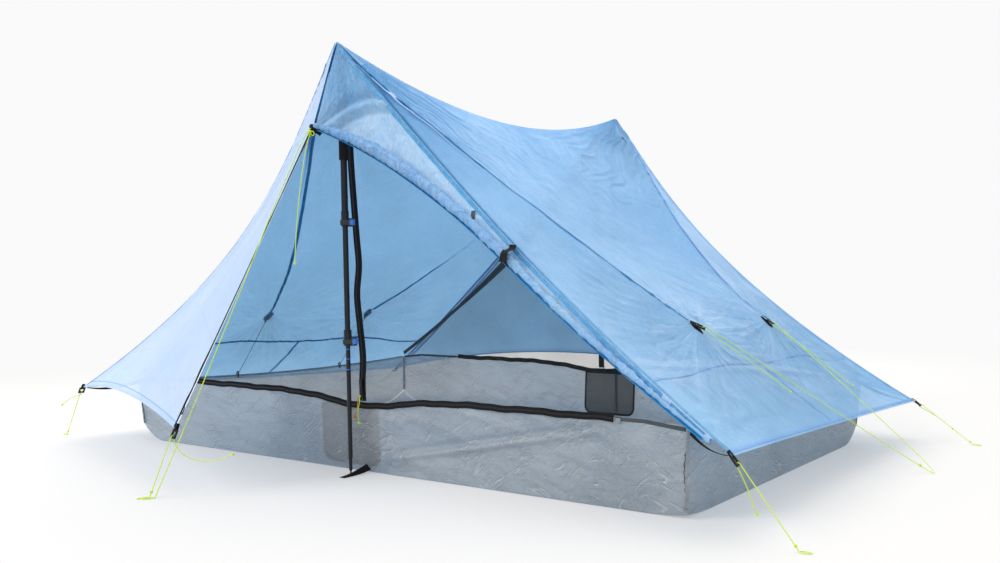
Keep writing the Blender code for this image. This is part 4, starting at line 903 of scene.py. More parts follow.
def pull_line(points, a, b, width, height):
    """A tight fold along a straight line between two points that are pulled apart."""
    a, b = np.asarray(a, float), np.asarray(b, float)
    t = np.clip(((points - a) @ (b - a)) / ((b - a) @ (b - a)), 0, 1)
    away = np.linalg.norm(points - (a + (b - a) * col(t)), axis=-1)
    return height * hump(away, width) * fade(t, 0.1) * fade(1 - t, 0.1)


def add_object(name, data):
    made = bpy.data.objects.new(name, data)
    bpy.context.scene.collection.objects.link(made)
    return made


def finished(name, data, finish):
    slot, material = FINISHES[finish]
    data.materials.append(material)
    made = add_object(name, data)
    return made


def add_mesh(name, points, faces, finish, smooth=True):
    data = bpy.data.meshes.new(name)
    data.from_pydata([tuple(p) for p in points], [], faces)
    data.update()
    if smooth:
        data.shade_smooth()
    return finished(name, data, finish)


def quads(rows, columns, first=0, ringed=True, looped=False):
    """Faces between rows of points. Each row may be a closed ring, and the last row may join the first."""
    faces = []
    for i in range(rows if looped else rows - 1):
        low, high = first + i * columns, first + (i + 1) % rows * columns
        for j in range(columns if ringed else columns - 1):
            after = (j + 1) % columns
            faces.append((low + j, low + after, high + after, high + j))
    return faces


def place_on(made, body="tent", replaces=(), door=None):
    """A piece goes on the given body; a door's piece instead has its placing baked into its mesh and stays on no body.
    The parts it replaces are hidden.
    """
    if door:
        side, end = door
        top = apex(side)
        edge, down = unit(canopy_corner(side, end) - top), door_foot(side, end) - top
        down = down - edge * (down @ edge)
        tuple(top + down * 0.7)
        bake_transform(made)
    else:
        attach(made, body)
    if replaces:
        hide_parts(*replaces)
    return made


def sheet_piece(name, points, finish, replaced, door=None, **said):
    made = add_mesh(name, points.reshape(-1, 3), quads(*points.shape[:2], ringed=False), finish)
    place_on(made, replaces=(replaced,), door=door)
    return made


def strip(name, points, normals, width, thickness, finish, lift=0.0, door=None, body="tent", replaces=()):
    """A flat band along a line: webbing, tape or a hem."""
    points = np.asarray(points, float)
    normals = np.broadcast_to(np.asarray(normals, float), points.shape)
    along = unit(np.gradient(points, axis=0))
    normals = unit(normals - along * np.sum(normals * along, axis=-1, keepdims=True))
    half = np.cross(along, normals) * np.broadcast_to(np.asarray(width, float) / 2, points.shape[:1])[:, None]
    low, high = points + normals * lift, points + normals * (lift + thickness)
    rings = np.stack([low - half, low + half, high + half, high - half], axis=1)
    faces = quads(len(points), 4) + [(3, 2, 1, 0), tuple(4 * (len(points) - 1) + k for k in range(4))]
    made = add_mesh(name, rings.reshape(-1, 3), faces, finish, smooth=False)
    crisp = made.modifiers.new("Crisp", "BEVEL")
    crisp.width = min(thickness * 0.3, 0.0006)
    crisp.segments = 1
    return place_on(made, body, replaces, door)


def tube(name, route, diameter, finish, closed=False, resolution=3):
    curve = bpy.data.curves.new(name, "CURVE")
    curve.dimensions = "3D"
    curve.bevel_depth = diameter / 2
    curve.bevel_resolution = resolution
    curve.use_fill_caps = True
    spline = curve.splines.new("POLY")
    spline.points.add(len(route) - 1)
    spline.use_cyclic_u = closed
    for point, place in zip(spline.points, route):
        point.co = (*place, 1)
    return finished(name, curve, finish)


def smooth_route(points, steps=10):
    """A centripetal curve through the given points."""
    given = [np.array(p, float) for p in points]
    padded = [2 * given[0] - given[1], *given, 2 * given[-1] - given[-2]]
    fine = []
    for places in zip(padded, padded[1:], padded[2:], padded[3:]):
        knots = np.cumsum([0, *(math.sqrt(np.linalg.norm(q - p)) for p, q in zip(places, places[1:]))])
        for step in range(steps):
            t, row = knots[1] + (knots[2] - knots[1]) * step / steps, places
            for level in (((0, 1), (1, 2), (2, 3)), ((0, 2), (1, 3)), ((1, 2),)):
                row = [(p * (knots[b] - t) + q * (t - knots[a])) / (knots[b] - knots[a])
                       for p, q, (a, b) in zip(row, row[1:], level)]
            fine.append(row[0])
    fine.append(given[-1])
    return np.array(fine)


def keep_bends(fine, tolerance=0.00008):
    if len(fine) < 3:
        return list(fine)
    way = fine[-1] - fine[0]
    length = max(tolerance, np.linalg.norm(way))
    off = [np.linalg.norm(np.cross(way, p - fine[0])) / length for p in fine[1:-1]]
    worst = int(np.argmax(off))
    if off[worst] < tolerance:
        return [fine[0], fine[-1]]
    return keep_bends(fine[:worst + 2], tolerance)[:-1] + keep_bends(fine[worst + 1:], tolerance)


def turns(count):
    return [2 * math.pi * step / count for step in range(count)]


def knot(name, place, along, size, finish="cord"):
    """An overhand knot drawn up tight."""
    turn = Vector(unit(along)).to_track_quat("Z", "Y").to_matrix()
    route = []
    for t in turns(48):
        ring = size * (0.62 + 0.3 * math.cos(3 * t))
        local = Vector((ring * math.cos(2 * t), ring * math.sin(2 * t), size * 0.62 * math.sin(3 * t)))
        route.append(Vector(place) + turn @ local)
    return tube(name, route, size * 0.85, finish, closed=True, resolution=2)


def ground_loop(name, stake, away):
    """The loop in a guyline's end that a peg goes through, lying on the ground."""
    away = unit(vec(away[0], away[1]))
    aside = vec(-away[1], away[0])
    middle = vec(stake[0], stake[1], CORD / 2) + away * LOOP_REACH
    route = [middle - away * LOOP_REACH * math.cos(t) + aside * LOOP_HALF_WIDTH * math.sin(t) for t in turns(28)]
    return tube(name, route, CORD * 0.9, "cord", closed=True, resolution=2)


# Canopy
def make_roof(end):
    u, v = lattice(*ROOF_GRID)
    points = roof_point(end, u, v)
    normals = grid_normals(points, 2)
    relief = 0.003 * rough(points, 6, 3.1 + ENDS[end]) + 0.0012 * rough(points, 24, 8.7 + ENDS[end], 2)
    for side in SIDES:
        points[..., 2] += pull_lift(end, side, u, v)
    for side, other in zip(SIDES, reversed(SIDES)):
        tie, corner = tie_point(side, end), canopy_corner(side, end)
        down = corner - peak(side)
        for centre, way, count, reach, height, phase in (
            (tie, -down, 52, 0.34, 0.0024, 0.6 + SIDES[side]),
            (peak(side), down, 56, 0.55, 0.0034, 1.1 + SIDES[side]),
            (corner, -down, 30, 0.36, 0.0020, 0.4),
        ):
            relief += fan(points, centre, way, vec(0, 1), count, reach, height, phase)
        relief += pull_line(points, tie, corner, TIE_LINE_WIDTH, 0.004)
        relief += pull_line(points, tie, tie_point(other, end), TIE_LINE_WIDTH, 0.002)
    for side in SIDES:
        close = hump(np.linalg.norm(points - peak(side), axis=-1), PEAK_EASE_REACH)
        relief = np.where(relief < 0, relief * (1 - close), relief)
    points = points + normals * col(relief * edge_mask(u, v, 0.03))
    sheet_piece("roof_" + end, points, "roof", "canopy_roof_" + end, flat=(1.75, 1.72), held="stretched",
                rests_on=["pole_grip_near", "pole_grip_far"], area=2.1)
    return points, normals


def lay_on(cloth, us, vs):
    """Points and normals on a cloth at the given shares."""
    rows, columns = (count - 1 for count in cloth[0].shape[:2])
    us, vs = np.broadcast_arrays(np.asarray(us, float), np.asarray(vs, float))
    x, y = np.clip(us, 0, 1) * rows, np.clip(vs, 0, 1) * columns
    i, j = np.minimum(x.astype(int), rows - 1), np.minimum(y.astype(int), columns - 1)
    line, up = (between(between(table[i, j], table[i + 1, j], x - i),
                        between(table[i, j + 1], table[i + 1, j + 1], x - i), y - j) for table in cloth)
    return line, unit(up)


def tape(name, cloth, us, vs, width, thickness, finish, lift, door=None):
    return strip(name, *lay_on(cloth, us, vs), width, thickness, finish, lift, door)


def roof_trim(end, cloth):
    """Seam tapes, hems, patches and tabs on a roof panel. The long seams are taped on the inside."""
    t = np.linspace(0.003, 0.997, 90)
    for side, v, finish in (("near", 0.007, "teal"), ("far", 0.993, "roof")):
        tape(f"roof_seam_{side}_{end}", cloth, t, v, 0.014, TAPE, finish, ON_CLOTH)
        tape(f"roof_seam_tape_{side}_{end}", cloth, t, v, 0.012, TAPE, "seam", UNDER_CLOTH)
    tape("roof_hem_" + end, cloth, 0.995, t, 0.010, 0.0008, "roof", 0.0003)
    low = np.linspace(CROSS_SEAM_U_SHARE, 0.992, 16)
    for word, us, vs, width in (("cross", CROSS_SEAM_U_SHARE, t, 0.010), ("end", low, END_SEAM_V_SHARE, 0.009)):
        tape(f"roof_{word}_seam_{end}", cloth, us, vs, width, TAPE, "seam", UNDER_CLOTH)
        tape(f"roof_{word}_stitch_{end}", cloth, us, vs, width - 0.004, 0.0004, "roof", ON_CLOTH)
    for side in SIDES:
        us, vs = pull_path(side, PULL_SHARES)
        tape(f"roof_pull_seam_{side}_{end}", cloth, us, vs, 0.010, TAPE, "seam", -0.0016)
        tape(f"roof_pull_stitch_{side}_{end}", cloth, us, vs, 0.0055 + 0.012 * hump(PULL_SHARES, 0.3), 0.0004,
             "pull" if side == "near" else "roof", 0.0008)
        if side == "near":
            below, up = lay_on(cloth, us[:SHINE_COUNT], vs[:SHINE_COUNT] * 0.93 - 0.004)
            shine = 0.002 + 0.016 * hump(PULL_SHARES[:SHINE_COUNT] - 0.22, 0.12)
            strip("roof_pull_shine_" + end, below, up + vec(-0.5, -0.3, 0.1), shine, 0.0004, "door", 0.0012)
        tie_patch(side, end, cloth)
        tab_through(f"roof_tab_{side}_{end}", roof_adjuster_frame(side, end), 0.022)


def tie_patch(side, end, cloth):
    """A round reinforcement patch laid on the roof at a tie-out."""
    rings, sectors, half, lift = 5, 28, TIE_PATCH_HALF_SHARE, 0.0009
    u, v = TIE_U_SHARE, tie_v(side)
    centre, up = lay_on(cloth, u, v)
    places = [centre + up * lift]
    for ring in range(1, rings + 1):
        r = half * ring / rings
        for angle in turns(sectors):
            place, up = lay_on(cloth, u + r * math.cos(angle), v + r * math.sin(angle))
            places.append(place + up * (lift if ring < rings else 0.0002))
    faces = [(0, 1 + (s + 1) % sectors, 1 + s) for s in range(sectors)] + quads(rings, sectors, first=1)
    place_on(add_mesh(f"roof_tie_patch_{side}_{end}", places, faces, "webbing"))


def adjuster_frame(seat, pull, face):
    up = -Vector(pull).normalized()
    across = Vector(face).cross(up).normalized()
    turn = Matrix((across, up.cross(across), up)).transposed().to_4x4()
    return Matrix.Translation(Vector(seat)) @ turn


def cord_turn(at):
    """The places where a cord turns round an adjuster's bar, from one strand to the other."""
    middle = ADJUSTER_BAR - ADJUSTER_LENGTH - CORD_TURN_RADIUS + CORD_TURN_RISE
    arc = [math.pi * step / CORD_TURN_STEPS for step in range(CORD_TURN_STEPS + 1)]
    places = [(-1, -ADJUSTER_BAR), *((-math.cos(a), CORD_TURN_RADIUS * math.sin(a)) for a in arc), (1, -ADJUSTER_BAR)]
    return [np.array(at @ Vector((0, CORD_TURN_RADIUS * y, middle + z))) for y, z in places]


def corner_frame(side, end):
    corner = canopy_corner(side, end)
    pull = unit(CORNER_STAKES[side, end] - corner)
    outside = vec(ENDS[end], SIDES[side]) * LAYER / 2
    return adjuster_frame(corner + outside + pull * ADJUSTER_SEAT, pull, (0, 0, 1))


def roof_adjuster_frame(side, end):
    normal = roof_normal(side, end)
    target = np.array(BRIDLE_ENDS[end][0 if side == "near" else 2])
    seat = tie_point(side, end) + normal * (HALF_CLOTH + CONTACT_GAP + ADJUSTER_THICKNESS / 2)
    return adjuster_frame(seat, unit(target - seat) + normal * ROOF_ADJUSTER_TILT_SHARE, normal)


def near_door_frame():
    pull = unit(NEAR_DOOR_STAKE - door_foot("near", "left"))
    return adjuster_frame(door_foot("near", "left") + pull * DOOR_ADJUSTER_SEAT, pull, (0, 1, 0))


def tab_through(name, at, length, body="tent"):
    """A folded webbing tab from the cloth through an adjuster's top bar and back."""
    half = [(0.0018, length), (0.0026, 0.004), (0.0029, -0.0015), (0.0022, -0.0044)]
    profile = [(-y, z) for y, z in half] + [(0, -0.0052)] + half[::-1]
    line = smooth_route([np.array(at @ Vector((0, y, z))) for y, z in profile], 4)
    strip(name, line, unit(line - np.array(at @ Vector((0, 0, -0.001)))), 0.009, 0.0009, "webbing", body=body)


# Storm doors
def make_door(side, end):
    u, v = lattice(*DOOR_GRID)
    points = door_point(side, end, u, v)
    normals = grid_normals(points, 1, SIDES[side])
    corner, foot, top = canopy_corner(side, end), door_foot(side, end), apex(side)
    relief = 0.003 * rough(points, 4, 1.3 + SIDES[side] + 2 * ENDS[end]) + 0.0008 * rough(points, 24, 4.4, 2)
    for centre, first, second, count, reach, height, phase in (
        (foot, top, corner, 24, 0.22, 0.0016, 0.5),
        (corner, top, foot, 22, 0.25, 0.0014, 1.4),
        (top, corner, foot, 26, 0.35, 0.002, 0.2),
    ):
        relief += fan(points, centre, first - centre, second - centre, count, reach, height, phase)
    points = points + normals * col(relief * edge_mask(u, v, 0.05))
    sheet_piece(f"storm_door_{side}_{end}_cloth", points, DOOR_FINISHES[side], f"storm_door_{side}_{end}", (side, end),
                flat=(1.0, 1.75), held="stretched", rests_on=[f"pole_grip_{side}"], area=0.66)
    return points, normals


def door_trim(side, end, cloth):
    t, door, name = np.linspace(0.002, 0.998, 80), (side, end), f"_{side}_{end}"
    for word, us, vs, width, thickness, finish in (
        ("hem_stitch", 0.985, t, 0.0022, 0.0005, "roof"),
        ("hem", 0.996, t, 0.008, 0.0007, DOOR_FINISHES[side]),
        ("edge", t, 0.996, 0.007, TAPE, "edge"),
        ("seam", t, 0.012, 0.010, TAPE, "teal"),
        ("cross_seam", DOOR_CROSS_U_SHARE, np.linspace(0.02, 0.98, 40), 0.006, 0.0005, "door"),
    ):
        if side == "near" or word != "cross_seam":
            tape("door_" + word + name, cloth, us, vs, width, thickness, finish, DOOR_TRIM_LIFT, door)
    line, up = lay_on(cloth, t, 0.986)
    turn = DOOR_ZIP_TWIST * fade(t - 0.72, 0.28) * np.sin(t * 22)
    up = up * col(np.cos(turn)) + np.cross(unit(np.gradient(line, axis=0)), up) * col(np.sin(turn))
    width = DOOR_ZIP_WIDTH * (1 + 0.35 * hump(t - 0.78, 0.1) - 0.45 * fade(t - 0.9, 0.1))
    strip("door_zip" + name, line, up, width, 0.0022, "webbing", ON_CLOTH, door)
    start, up = lay_on(cloth, 0.955, 0.995)
    lean = unit(vec(1.0, 0.2 * SIDES[side], 0.6))
    tail = np.array([start + lean * k * 0.007 for k in range(5)])
    tail[:, 2] += (0, -0.001, 0.0, 0.003, 0.007)
    strip("door_zip_tail" + name, tail, up, 0.005, 0.0012, "webbing", 0.001, door)


def cap_folds(lengthwise, across):
    """The sharp folds from the beak's corner back to the seam, above the roll."""
    place = lengthwise / CAP_FOLD_END_SHARE + across - 1
    held = fade(across, 0.1) * fade(1.05 - across, 0.1) * (across <= 1)
    upper = 0.013 * np.maximum(0, 1 - np.abs(place) / 0.16) ** 1.5
    return held * (upper + 0.006 * hump(place - 0.34, 0.06) - 0.007 * hump(place - 0.17, 0.08))


def make_rolled_door():
    rows, flat, around = ROLLED_DOOR_GRID
    run = np.linspace(0, 1, rows + 1)
    shares = ROLLED_START_SHARE + (ROLLED_END_SHARE - ROLLED_START_SHARE) * run
    start, down, out, width, radius = rolled_frame(shares)
    reach = down * col(np.maximum(0, width - radius))
    centre = start + reach + out * col(radius)
    columns = [start + reach * j / flat for j in range(flat + 1)]
    for j in range(1, around + 1):
        angle = ROLL_WINDING * j / around
        shrink = radius * (1 - ROLL_TIGHTENING_SHARE * j / around)
        columns.append(centre + (down * math.sin(angle) - out * math.cos(angle)) * col(shrink))
    points = np.stack(columns, axis=1)
    steps = [j / flat for j in range(flat + 1)] + [1 + j / around for j in range(1, around + 1)]
    lengthwise, across = np.meshgrid(run, steps, indexing="ij")
    relief = 0.003 * rough(points, 14, 5.5) + 0.0016 * rough(points, 60, 2.5, 2)
    relief += np.where(across > 1, 0.0022 * crest(lengthwise * 150 + 6 * rough(points, 6, 9.1)), 0)
    relief += 0.002 * crest(lengthwise * 40 + across * 2 + 3 * rough(points, 4, 1.1)) * np.where(across <= 1, across, 0)
    relief += cap_folds(lengthwise, across)
    points = points + grid_normals(points) * col(relief * fade(across, 0.12) * fade(lengthwise, 0.02))
    made = sheet_piece("storm_door_near_right_roll", points, "roll", "storm_door_near_right", flat=(0.75, 1.9),
                       held="folded", rests_on=["canopy_roof_right"], area=0.65)
    made.data.materials.append(FINISHES["wound"][1])
    for face in made.data.polygons:
        face.material_index = int(face.index % (flat + around) >= flat - 2)
    trimmed = slice(3, -2)
    front = (start + down * 0.009 + out * 0.0014)[trimmed]
    strip("rolled_door_seam", front, out[trimmed], 0.011, TAPE, "teal")
    label = start[101] + down * 0.020 + out[101] * 0.0045
    way = down * 0.006 + (start[108] - start[101]) * 0.02
    strip("rolled_door_patch", [label + way * k for k in range(9)], out[101], 0.012, TAPE, "grey_net")
    edge = centre + down * col(radius + 0.0010) + out * col(-0.2 * radius)
    strip("rolled_door_edge", edge[trimmed], unit(down - out * 0.6)[trimmed], 0.009, 0.0012, "seam")


def roll_strap():
    """The webbing that goes on from the tie-back strap over the rolled door's band up to the seam."""
    start, down, out, width, radius = rolled_frame(ROLL_STRAP_SHARE)
    line = [start + down * width * share + out * (0.007 + 2.2 * radius * fade(share - 0.1, 0.5))
            for share in np.linspace(-0.02, 1.0, 14)]
    strip("roll_strap", line, out, 0.020, 0.0014, "webbing")


# Bathtub
def crumple(points, seed):
    """Crushed film: long sharp creases, mostly slanting, with finer ones between them."""
    slant = points @ np.array([[0.55, 0.1, 0.35], [0.1, 0.55, 0.35], [0.9, 0.9, 1.6]])
    broad, middle = -np.abs(rough(slant, 6, seed, 2)), -np.abs(rough(slant, 17, seed + 3.7, 2))
    return 0.016 * (broad + 0.3) + 0.006 * (middle + 0.25)


def wall_piece(word, name, u, v, points, out, relief, end_reach, flat):
    mask = fade(v, 0.1) * fade(1 - v, 0.1) * fade(np.minimum(u, 1 - u), end_reach)
    sheet_piece(f"bathtub_{word}_{name}", points + out * col(relief * mask), "wall", "bathtub_wall_" + name,
                flat=flat, held="stretched", rests_on=["bathtub_floor"])


def make_bathtub():
    for side in SIDES:
        u, v = lattice(*LONG_WALL_GRID)
        points = long_wall_point(side, (2 * u - 1) * (HALF_LENGTH + HALF_CLOTH), v)
        relief = crumple(points, 2.2 + SIDES[side])
        beside = np.abs(points[..., 0] - POCKETS_X[side]) - POCKET_WIDTH / 2
        relief = np.where(beside < 0.03, np.maximum(relief, 0) * 0.5, relief)
        above = vec(0, 0, WALL_FOLD_HEIGHT)
        relief += pull_line(points, *WALL_FOLD, 0.008, 0.015)
        relief -= pull_line(points, WALL_FOLD[0] + above, WALL_FOLD[1] + above, 0.011, 0.010)
        wall_piece("side", side, u, v, points, outward(side), relief, 0.01, (2.26, 0.23))
    for end in ENDS:
        u, v = lattice(*END_WALL_GRID)
        points = end_wall_point(end, (2 * u - 1) * HALF_WIDTH, v)
        wall_piece("end", end, u, v, points, vec(ENDS[end]), crumple(points, 4.2 + ENDS[end]), 0.03, (1.2, 0.23))
    u, v = lattice(*FLOOR_GRID)
    xs, ys = (2 * u - 1) * HALF_LENGTH, (2 * v - 1) * HALF_WIDTH
    points = stack(xs, ys, HALF_CLOTH + corner_lift(xs, ys))
    points[..., 2] += np.maximum(0, rough(points, 5, 6.6) - 0.05) * 0.006 * edge_mask(u, v, 0.05)
    sheet_piece("bathtub_sheet", points, "wall", "bathtub_floor", flat=(2.24, 1.18), held="laid")
    for side in SIDES:
        sewn = np.linspace(1, 0, 24)
        ys = SIDES[side] * np.linspace(HALF_WIDTH + 0.002, HALF_WIDTH + 0.096, 24)
        line = stack(POLES[side][0][0], ys, 0.0016 + 0.014 * sewn ** 2)
        turned = unit(stack(1.1 * sewn ** 2, SIDES[side] * 0.3 * sewn ** 2, 1))
        strip("foot_tab_" + side, line, turned, 0.022, 0.0012, "webbing", -0.0011)


def bathtub_trim():
    for side in SIDES:
        out = outward(side)
        xs = WALL_ZIP_X / TOP_LENGTH_SHARE
        line = long_wall_top(side, xs) + out * 0.0012 - vec(0, 0, 0.002)
        line[:, 2] += 0.0012 * np.sin(xs * 31) + 0.0008 * np.sin(xs * 73 + 1)
        strip("wall_zip_" + side, line, out, 0.018, 0.0056, "webbing", -0.0038, replaces=("zip_tape_" + side,))
        strip("wall_zip_coil_" + side, line + out * 0.0018, out, 0.0045, 0.0012, "plastic")
        for name, low, high, steps, off, drop, width, thickness, finish, lift in (
            ("wall_zip_end_" + side, 0.918, 0.933, 6, 0.0022, 0.006, 0.011, 0.0014, "silver", 0.0),
            (f"wall_edge_{side}_left", -1.112, -0.775, 30, 0.0008, 0.003, 0.009, 0.0030, "grey_tape", -0.002),
            (f"wall_edge_{side}_right", 0.915, 1.112, 30, 0.0008, 0.003, 0.009, 0.0030, "grey_tape", -0.002),
        ):
            line = long_wall_top(side, np.linspace(low, high, steps)) + out * off - vec(0, 0, drop)
            strip(name, line, out, width, thickness, finish, lift)
    for end in ENDS:
        out = vec(ENDS[end])
        line = end_wall_point(end, np.linspace(-0.58, 0.58, 60), 1) + out * 0.0006 - vec(0, 0, 0.003)
        strip("end_edge_" + end, line, out, 0.008, 0.0010, "wall")
        for side in SIDES:
            slant = vec(ENDS[end], SIDES[side])
            line = long_wall_point(side, ENDS[end] * (HALF_LENGTH - 0.002), np.linspace(0.02, 0.98, 16))
            strip(f"corner_seam_{side}_{end}", line + slant * 0.0014, unit(slant), 0.010, 0.0012, "wall")
            share = np.linspace(0.04, 0.94, 60)
            line = long_wall_point(side, ENDS[end] * (HALF_LENGTH - 0.006), share) + outward(side) * 0.0022
            line[:, 0] += 0.003 * np.sin(share * 9) + 0.0012 * np.sin(share * 61)
            thick = 0.0022 + 0.0016 * np.maximum(0, np.sin(share * 47)) ** 4
            strip(f"corner_thread_{side}_{end}", line, outward(side), thick, 0.0012, "grey_tape")


# Inner mesh
def make_mesh_panel(side, end):
    u, v = lattice(*MESH_GRID)
    points = mesh_point(side, end, u ** 1.2, v)
    relief = 0.006 * rough(points, 4, 3.3 + ENDS[end]) + 0.0015 * rough(points, 17, 1.9, 2)
    points[..., 1] += relief * edge_mask(u, v, 0.08)
    sheet_piece(f"inner_mesh_{side}_{end}", points, "net", f"mesh_{side}_{end}", flat=(1.16, 1.0), held="stretched",
                rests_on=[f"bathtub_wall_{side}"], area=0.5)
    t = np.linspace(0.0, 1.0, 70)
    line = mesh_point(side, end, t, np.full(70, 0.992))
    width = 0.005 + 0.003 * (1 - t) if side == "near" else 0.016 + 0.012 * (1 - t) ** 2
    strip(f"mesh_seam_{side}_{end}", line, outward(side), width, 0.0012, "thin_cord", -0.0004)
    if side == "far":
        # A grey band under the far mesh seam, widest at its upper end and narrowing to nothing at its lower end
        wide = 0.055 * fade(1 - t, 0.9) * fade(t, 0.05) + 0.001
        line = line - vec(0, 0, 1) * col(wide * 0.6)
        strip("mesh_band_" + end, line, outward(side), wide, 0.0008, "grey_net", 0.0006)


def make_zip(side):
    """The upright zip: two tapes with a coil between, a little wavy because the mesh is slack."""
    out = outward(side)
    line = zip_line(side, ZIP_SHARES) - out * (LAYER - 0.0006)
    line[:, 0] += blend_curve(ZIP_SWAY_SHARES, ZIP_SWAY, ZIP_SHARES)
    strip("door_zip_tape_" + side, line, out, 0.026, 0.0026, "webbing", -0.0016)
    strip("door_zip_coil_" + side, line + out * 0.001, out, 0.0055, 0.0014, "plastic")


def make_pocket(side):
    centre, half, top = POCKETS_X[side], POCKET_WIDTH / 2, POCKET_FOOT + POCKET_HEIGHT

    def wall_y(z, inwards):
        return SIDES[side] * (HALF_WIDTH - CLOTH - CONTACT_GAP + WALL_LEAN / WALL_HEIGHT * z - inwards)

    u, v = lattice(*POCKET_GRID)
    xs, zs = (u - 0.5) * POCKET_WIDTH, POCKET_FOOT + v * POCKET_HEIGHT
    corner = np.maximum(0, np.abs(xs) - (half - POCKET_CORNER))
    drop = POCKET_CORNER - np.sqrt(np.maximum(0, POCKET_CORNER ** 2 - corner ** 2))
    zs = np.maximum(zs, POCKET_FOOT + drop)
    belly = POCKET_DEPTH * np.sin(u * math.pi) ** 0.5 * fade(v, 0.25)
    points = stack(centre + xs, wall_y(zs, belly), zs)
    points[..., 1] += 0.002 * rough(points, 14, 2.8, 2) * edge_mask(u, v, 0.1)
    sheet_piece("pocket_" + side, points, "pocket", "mesh_pocket_" + side, flat=(0.25, 0.18), held="hung",
                rests_on=["bathtub_wall_" + side])
    rounded = [(half - POCKET_CORNER * (1 - math.sin(a)), POCKET_FOOT + POCKET_CORNER * (1 - math.cos(a)))
               for a in np.linspace(0, math.pi / 2, 9)]
    outline = [(-half, top), *((-x, z) for x, z in rounded[::-1]), *rounded, (half, top)]
    line = [(centre + x, wall_y(z, 0.001), z) for x, z in outline]
    strip("pocket_binding_" + side, line, -outward(side), 0.008, 0.0009, "webbing")
    strip("pocket_rim_" + side, points[:, -1, :], -outward(side), 0.009, 0.0011, "webbing")


# Cords
def free_cord(name, places, parts, replaces, body="tent", diameter=CORD, finish="cord"):
    route = keep_bends(smooth_route(places))
    made = place_on(tube(name, route, diameter, finish), body, replaces)
    for part in parts:
        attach(part, body)
    length = float(sum(np.linalg.norm(q - p) for p, q in zip(route, route[1:])))


def staked_cord(name, stem, places, replaces, body="tent", knot_size=None):
    """A strand to the ground with its loop, and in some cords the loop's knot."""
    stake = np.array(places[-1])
    way = unit(stake - places[-2])
    parts = [ground_loop(stem + "_loop", stake, way)]
    if knot_size:
        place = stake - way * KNOT_BACK + vec(0, 0, CORD * 0.6)
        parts.append(knot(stem + "_knot", place, way, CORD * knot_size))
    free_cord(name, places, parts, replaces, body)


def hanging_end(name, knot_name, places, replaces, body="tent", knot_size=1.2, back=0.0):
    """A cord's loose end with its knot."""
    last = np.array(places[-1])
    way = last - places[-2]
    tied = knot(knot_name, last - unit(way) * back, way, CORD * knot_size)
    free_cord(name, places, [tied], replaces, body)


def make_cords():
    for (side, end), stake in CORNER_STAKES.items():
        turn, tail = cord_turn(corner_frame(side, end)), np.array(CORNER_TAILS[side, end])
        name, replaced = f"corner_cord_{side}_{end}", (f"corner_guyline_{side}_{end}",)
        staked_cord(name + "_main", name, [*turn[3:], stake], replaced, knot_size=1.25)
        places = [*reversed(turn[:4]), (turn[0] + tail) / 2 + vec(0, 0, 0.006), tail]
        hanging_end(name + "_tail", name + "_tail_knot", places, replaced, knot_size=1.15, back=0.006)
    for end in ENDS:
        turn = {side: cord_turn(roof_adjuster_frame(side, end)) for side in SIDES}
        ground, replaced = [np.array(place) for place in BRIDLE_ENDS[end]], ("side_guyline_" + end,)
        tied = knot("bridle_knot_" + end, ground[0] + vec(0, 0, 0.001), ground[1] - turn["near"][-1], CORD * 1.5)
        places = [*turn["near"][3:], *ground, *reversed(turn["far"][3:])]
        free_cord("bridle_" + end, places, [tied], replaced)
        for side in SIDES:
            tail = np.array(SIDE_TAILS[side, end])
            places = [*reversed(turn[side][:4]), (turn[side][0] + tail) / 2 + vec(0, 0, 0.004), tail]
            hanging_end(f"bridle_tail_{side}_{end}", f"bridle_tail_knot_{side}_{end}", places, replaced)
    turn, door = cord_turn(near_door_frame()), (("door_guyline_near",), "near_left_door")
    staked_cord("door_cord_main", "door_cord", [*reversed(turn[:4]), NEAR_DOOR_STAKE], *door, 1.3)
    hanging_end("door_cord_tail", "door_cord_tail_knot", [*turn[3:], *(np.array(p) for p in NEAR_DOOR_TAIL)], *door)
    near, far = ("beak_guyline_near",), ("beak_guyline_far",)
    staked_cord("beak_cord_near_main", "beak_cord_near", [np.array(p) for p in NEAR_BEAK_MAIN], near)
    hanging_end("beak_cord_near_tail", "beak_cord_near_tail_knot", [np.array(p) for p in NEAR_BEAK_TAIL], near)
    staked_cord("beak_cord_far", "beak_cord_far", [np.array(p) for p in FAR_BEAK_MAIN], far)


def make_inner_tie(side, end):
    sign = ENDS[end]
    start = tie_point(side, end) - roof_normal(side, end) * (HALF_CLOTH + CONTACT_GAP + INNER_CORD / 2)
    eye = end_wall_point(end, start[1], 1) - vec(0, 0, HOOK_RADIUS - HALF_CLOTH - INNER_CORD)
    round_edge = [eye + HOOK_RADIUS * vec(sign * math.cos(a), 0, math.sin(a)) for a in map(math.radians, HOOK_ANGLES)]
    down = [eye + vec(sign * HOOK_RADIUS, 0, -drop) for drop in (HOOK_RADIUS, HOOK_TAIL)]
    places = [start, *round_edge, *down]
    hook, way = wall_hook(f"inner_hook_{side}_{end}", eye, sign), places[1] - start
    knob = knot(f"inner_knot_{side}_{end}", start + way * 0.1, way, 0.0026, "thin_cord")
    free_cord(f"inner_cord_{side}_{end}", places, [hook, knob], (f"inner_tie_{side}_{end}",),
              diameter=INNER_CORD, finish="thin_cord")


def wall_hook(name, eye, sign):
    """The black hook that holds a cord on the bathtub's edge, with its ring above the edge."""
    angles = [math.radians(-60 + 20 * step) for step in range(16)]
    middle = eye + vec(0, 0.003, 0.004)
    route = [middle + HOOK_WIRE_REACH * vec(sign * math.cos(a) * 0.55, 0, math.sin(a)) for a in angles]
    return tube(name, [*route, route[-1] + vec(-sign * 0.002, 0, -0.006)], HOOK_WIRE, "plastic")


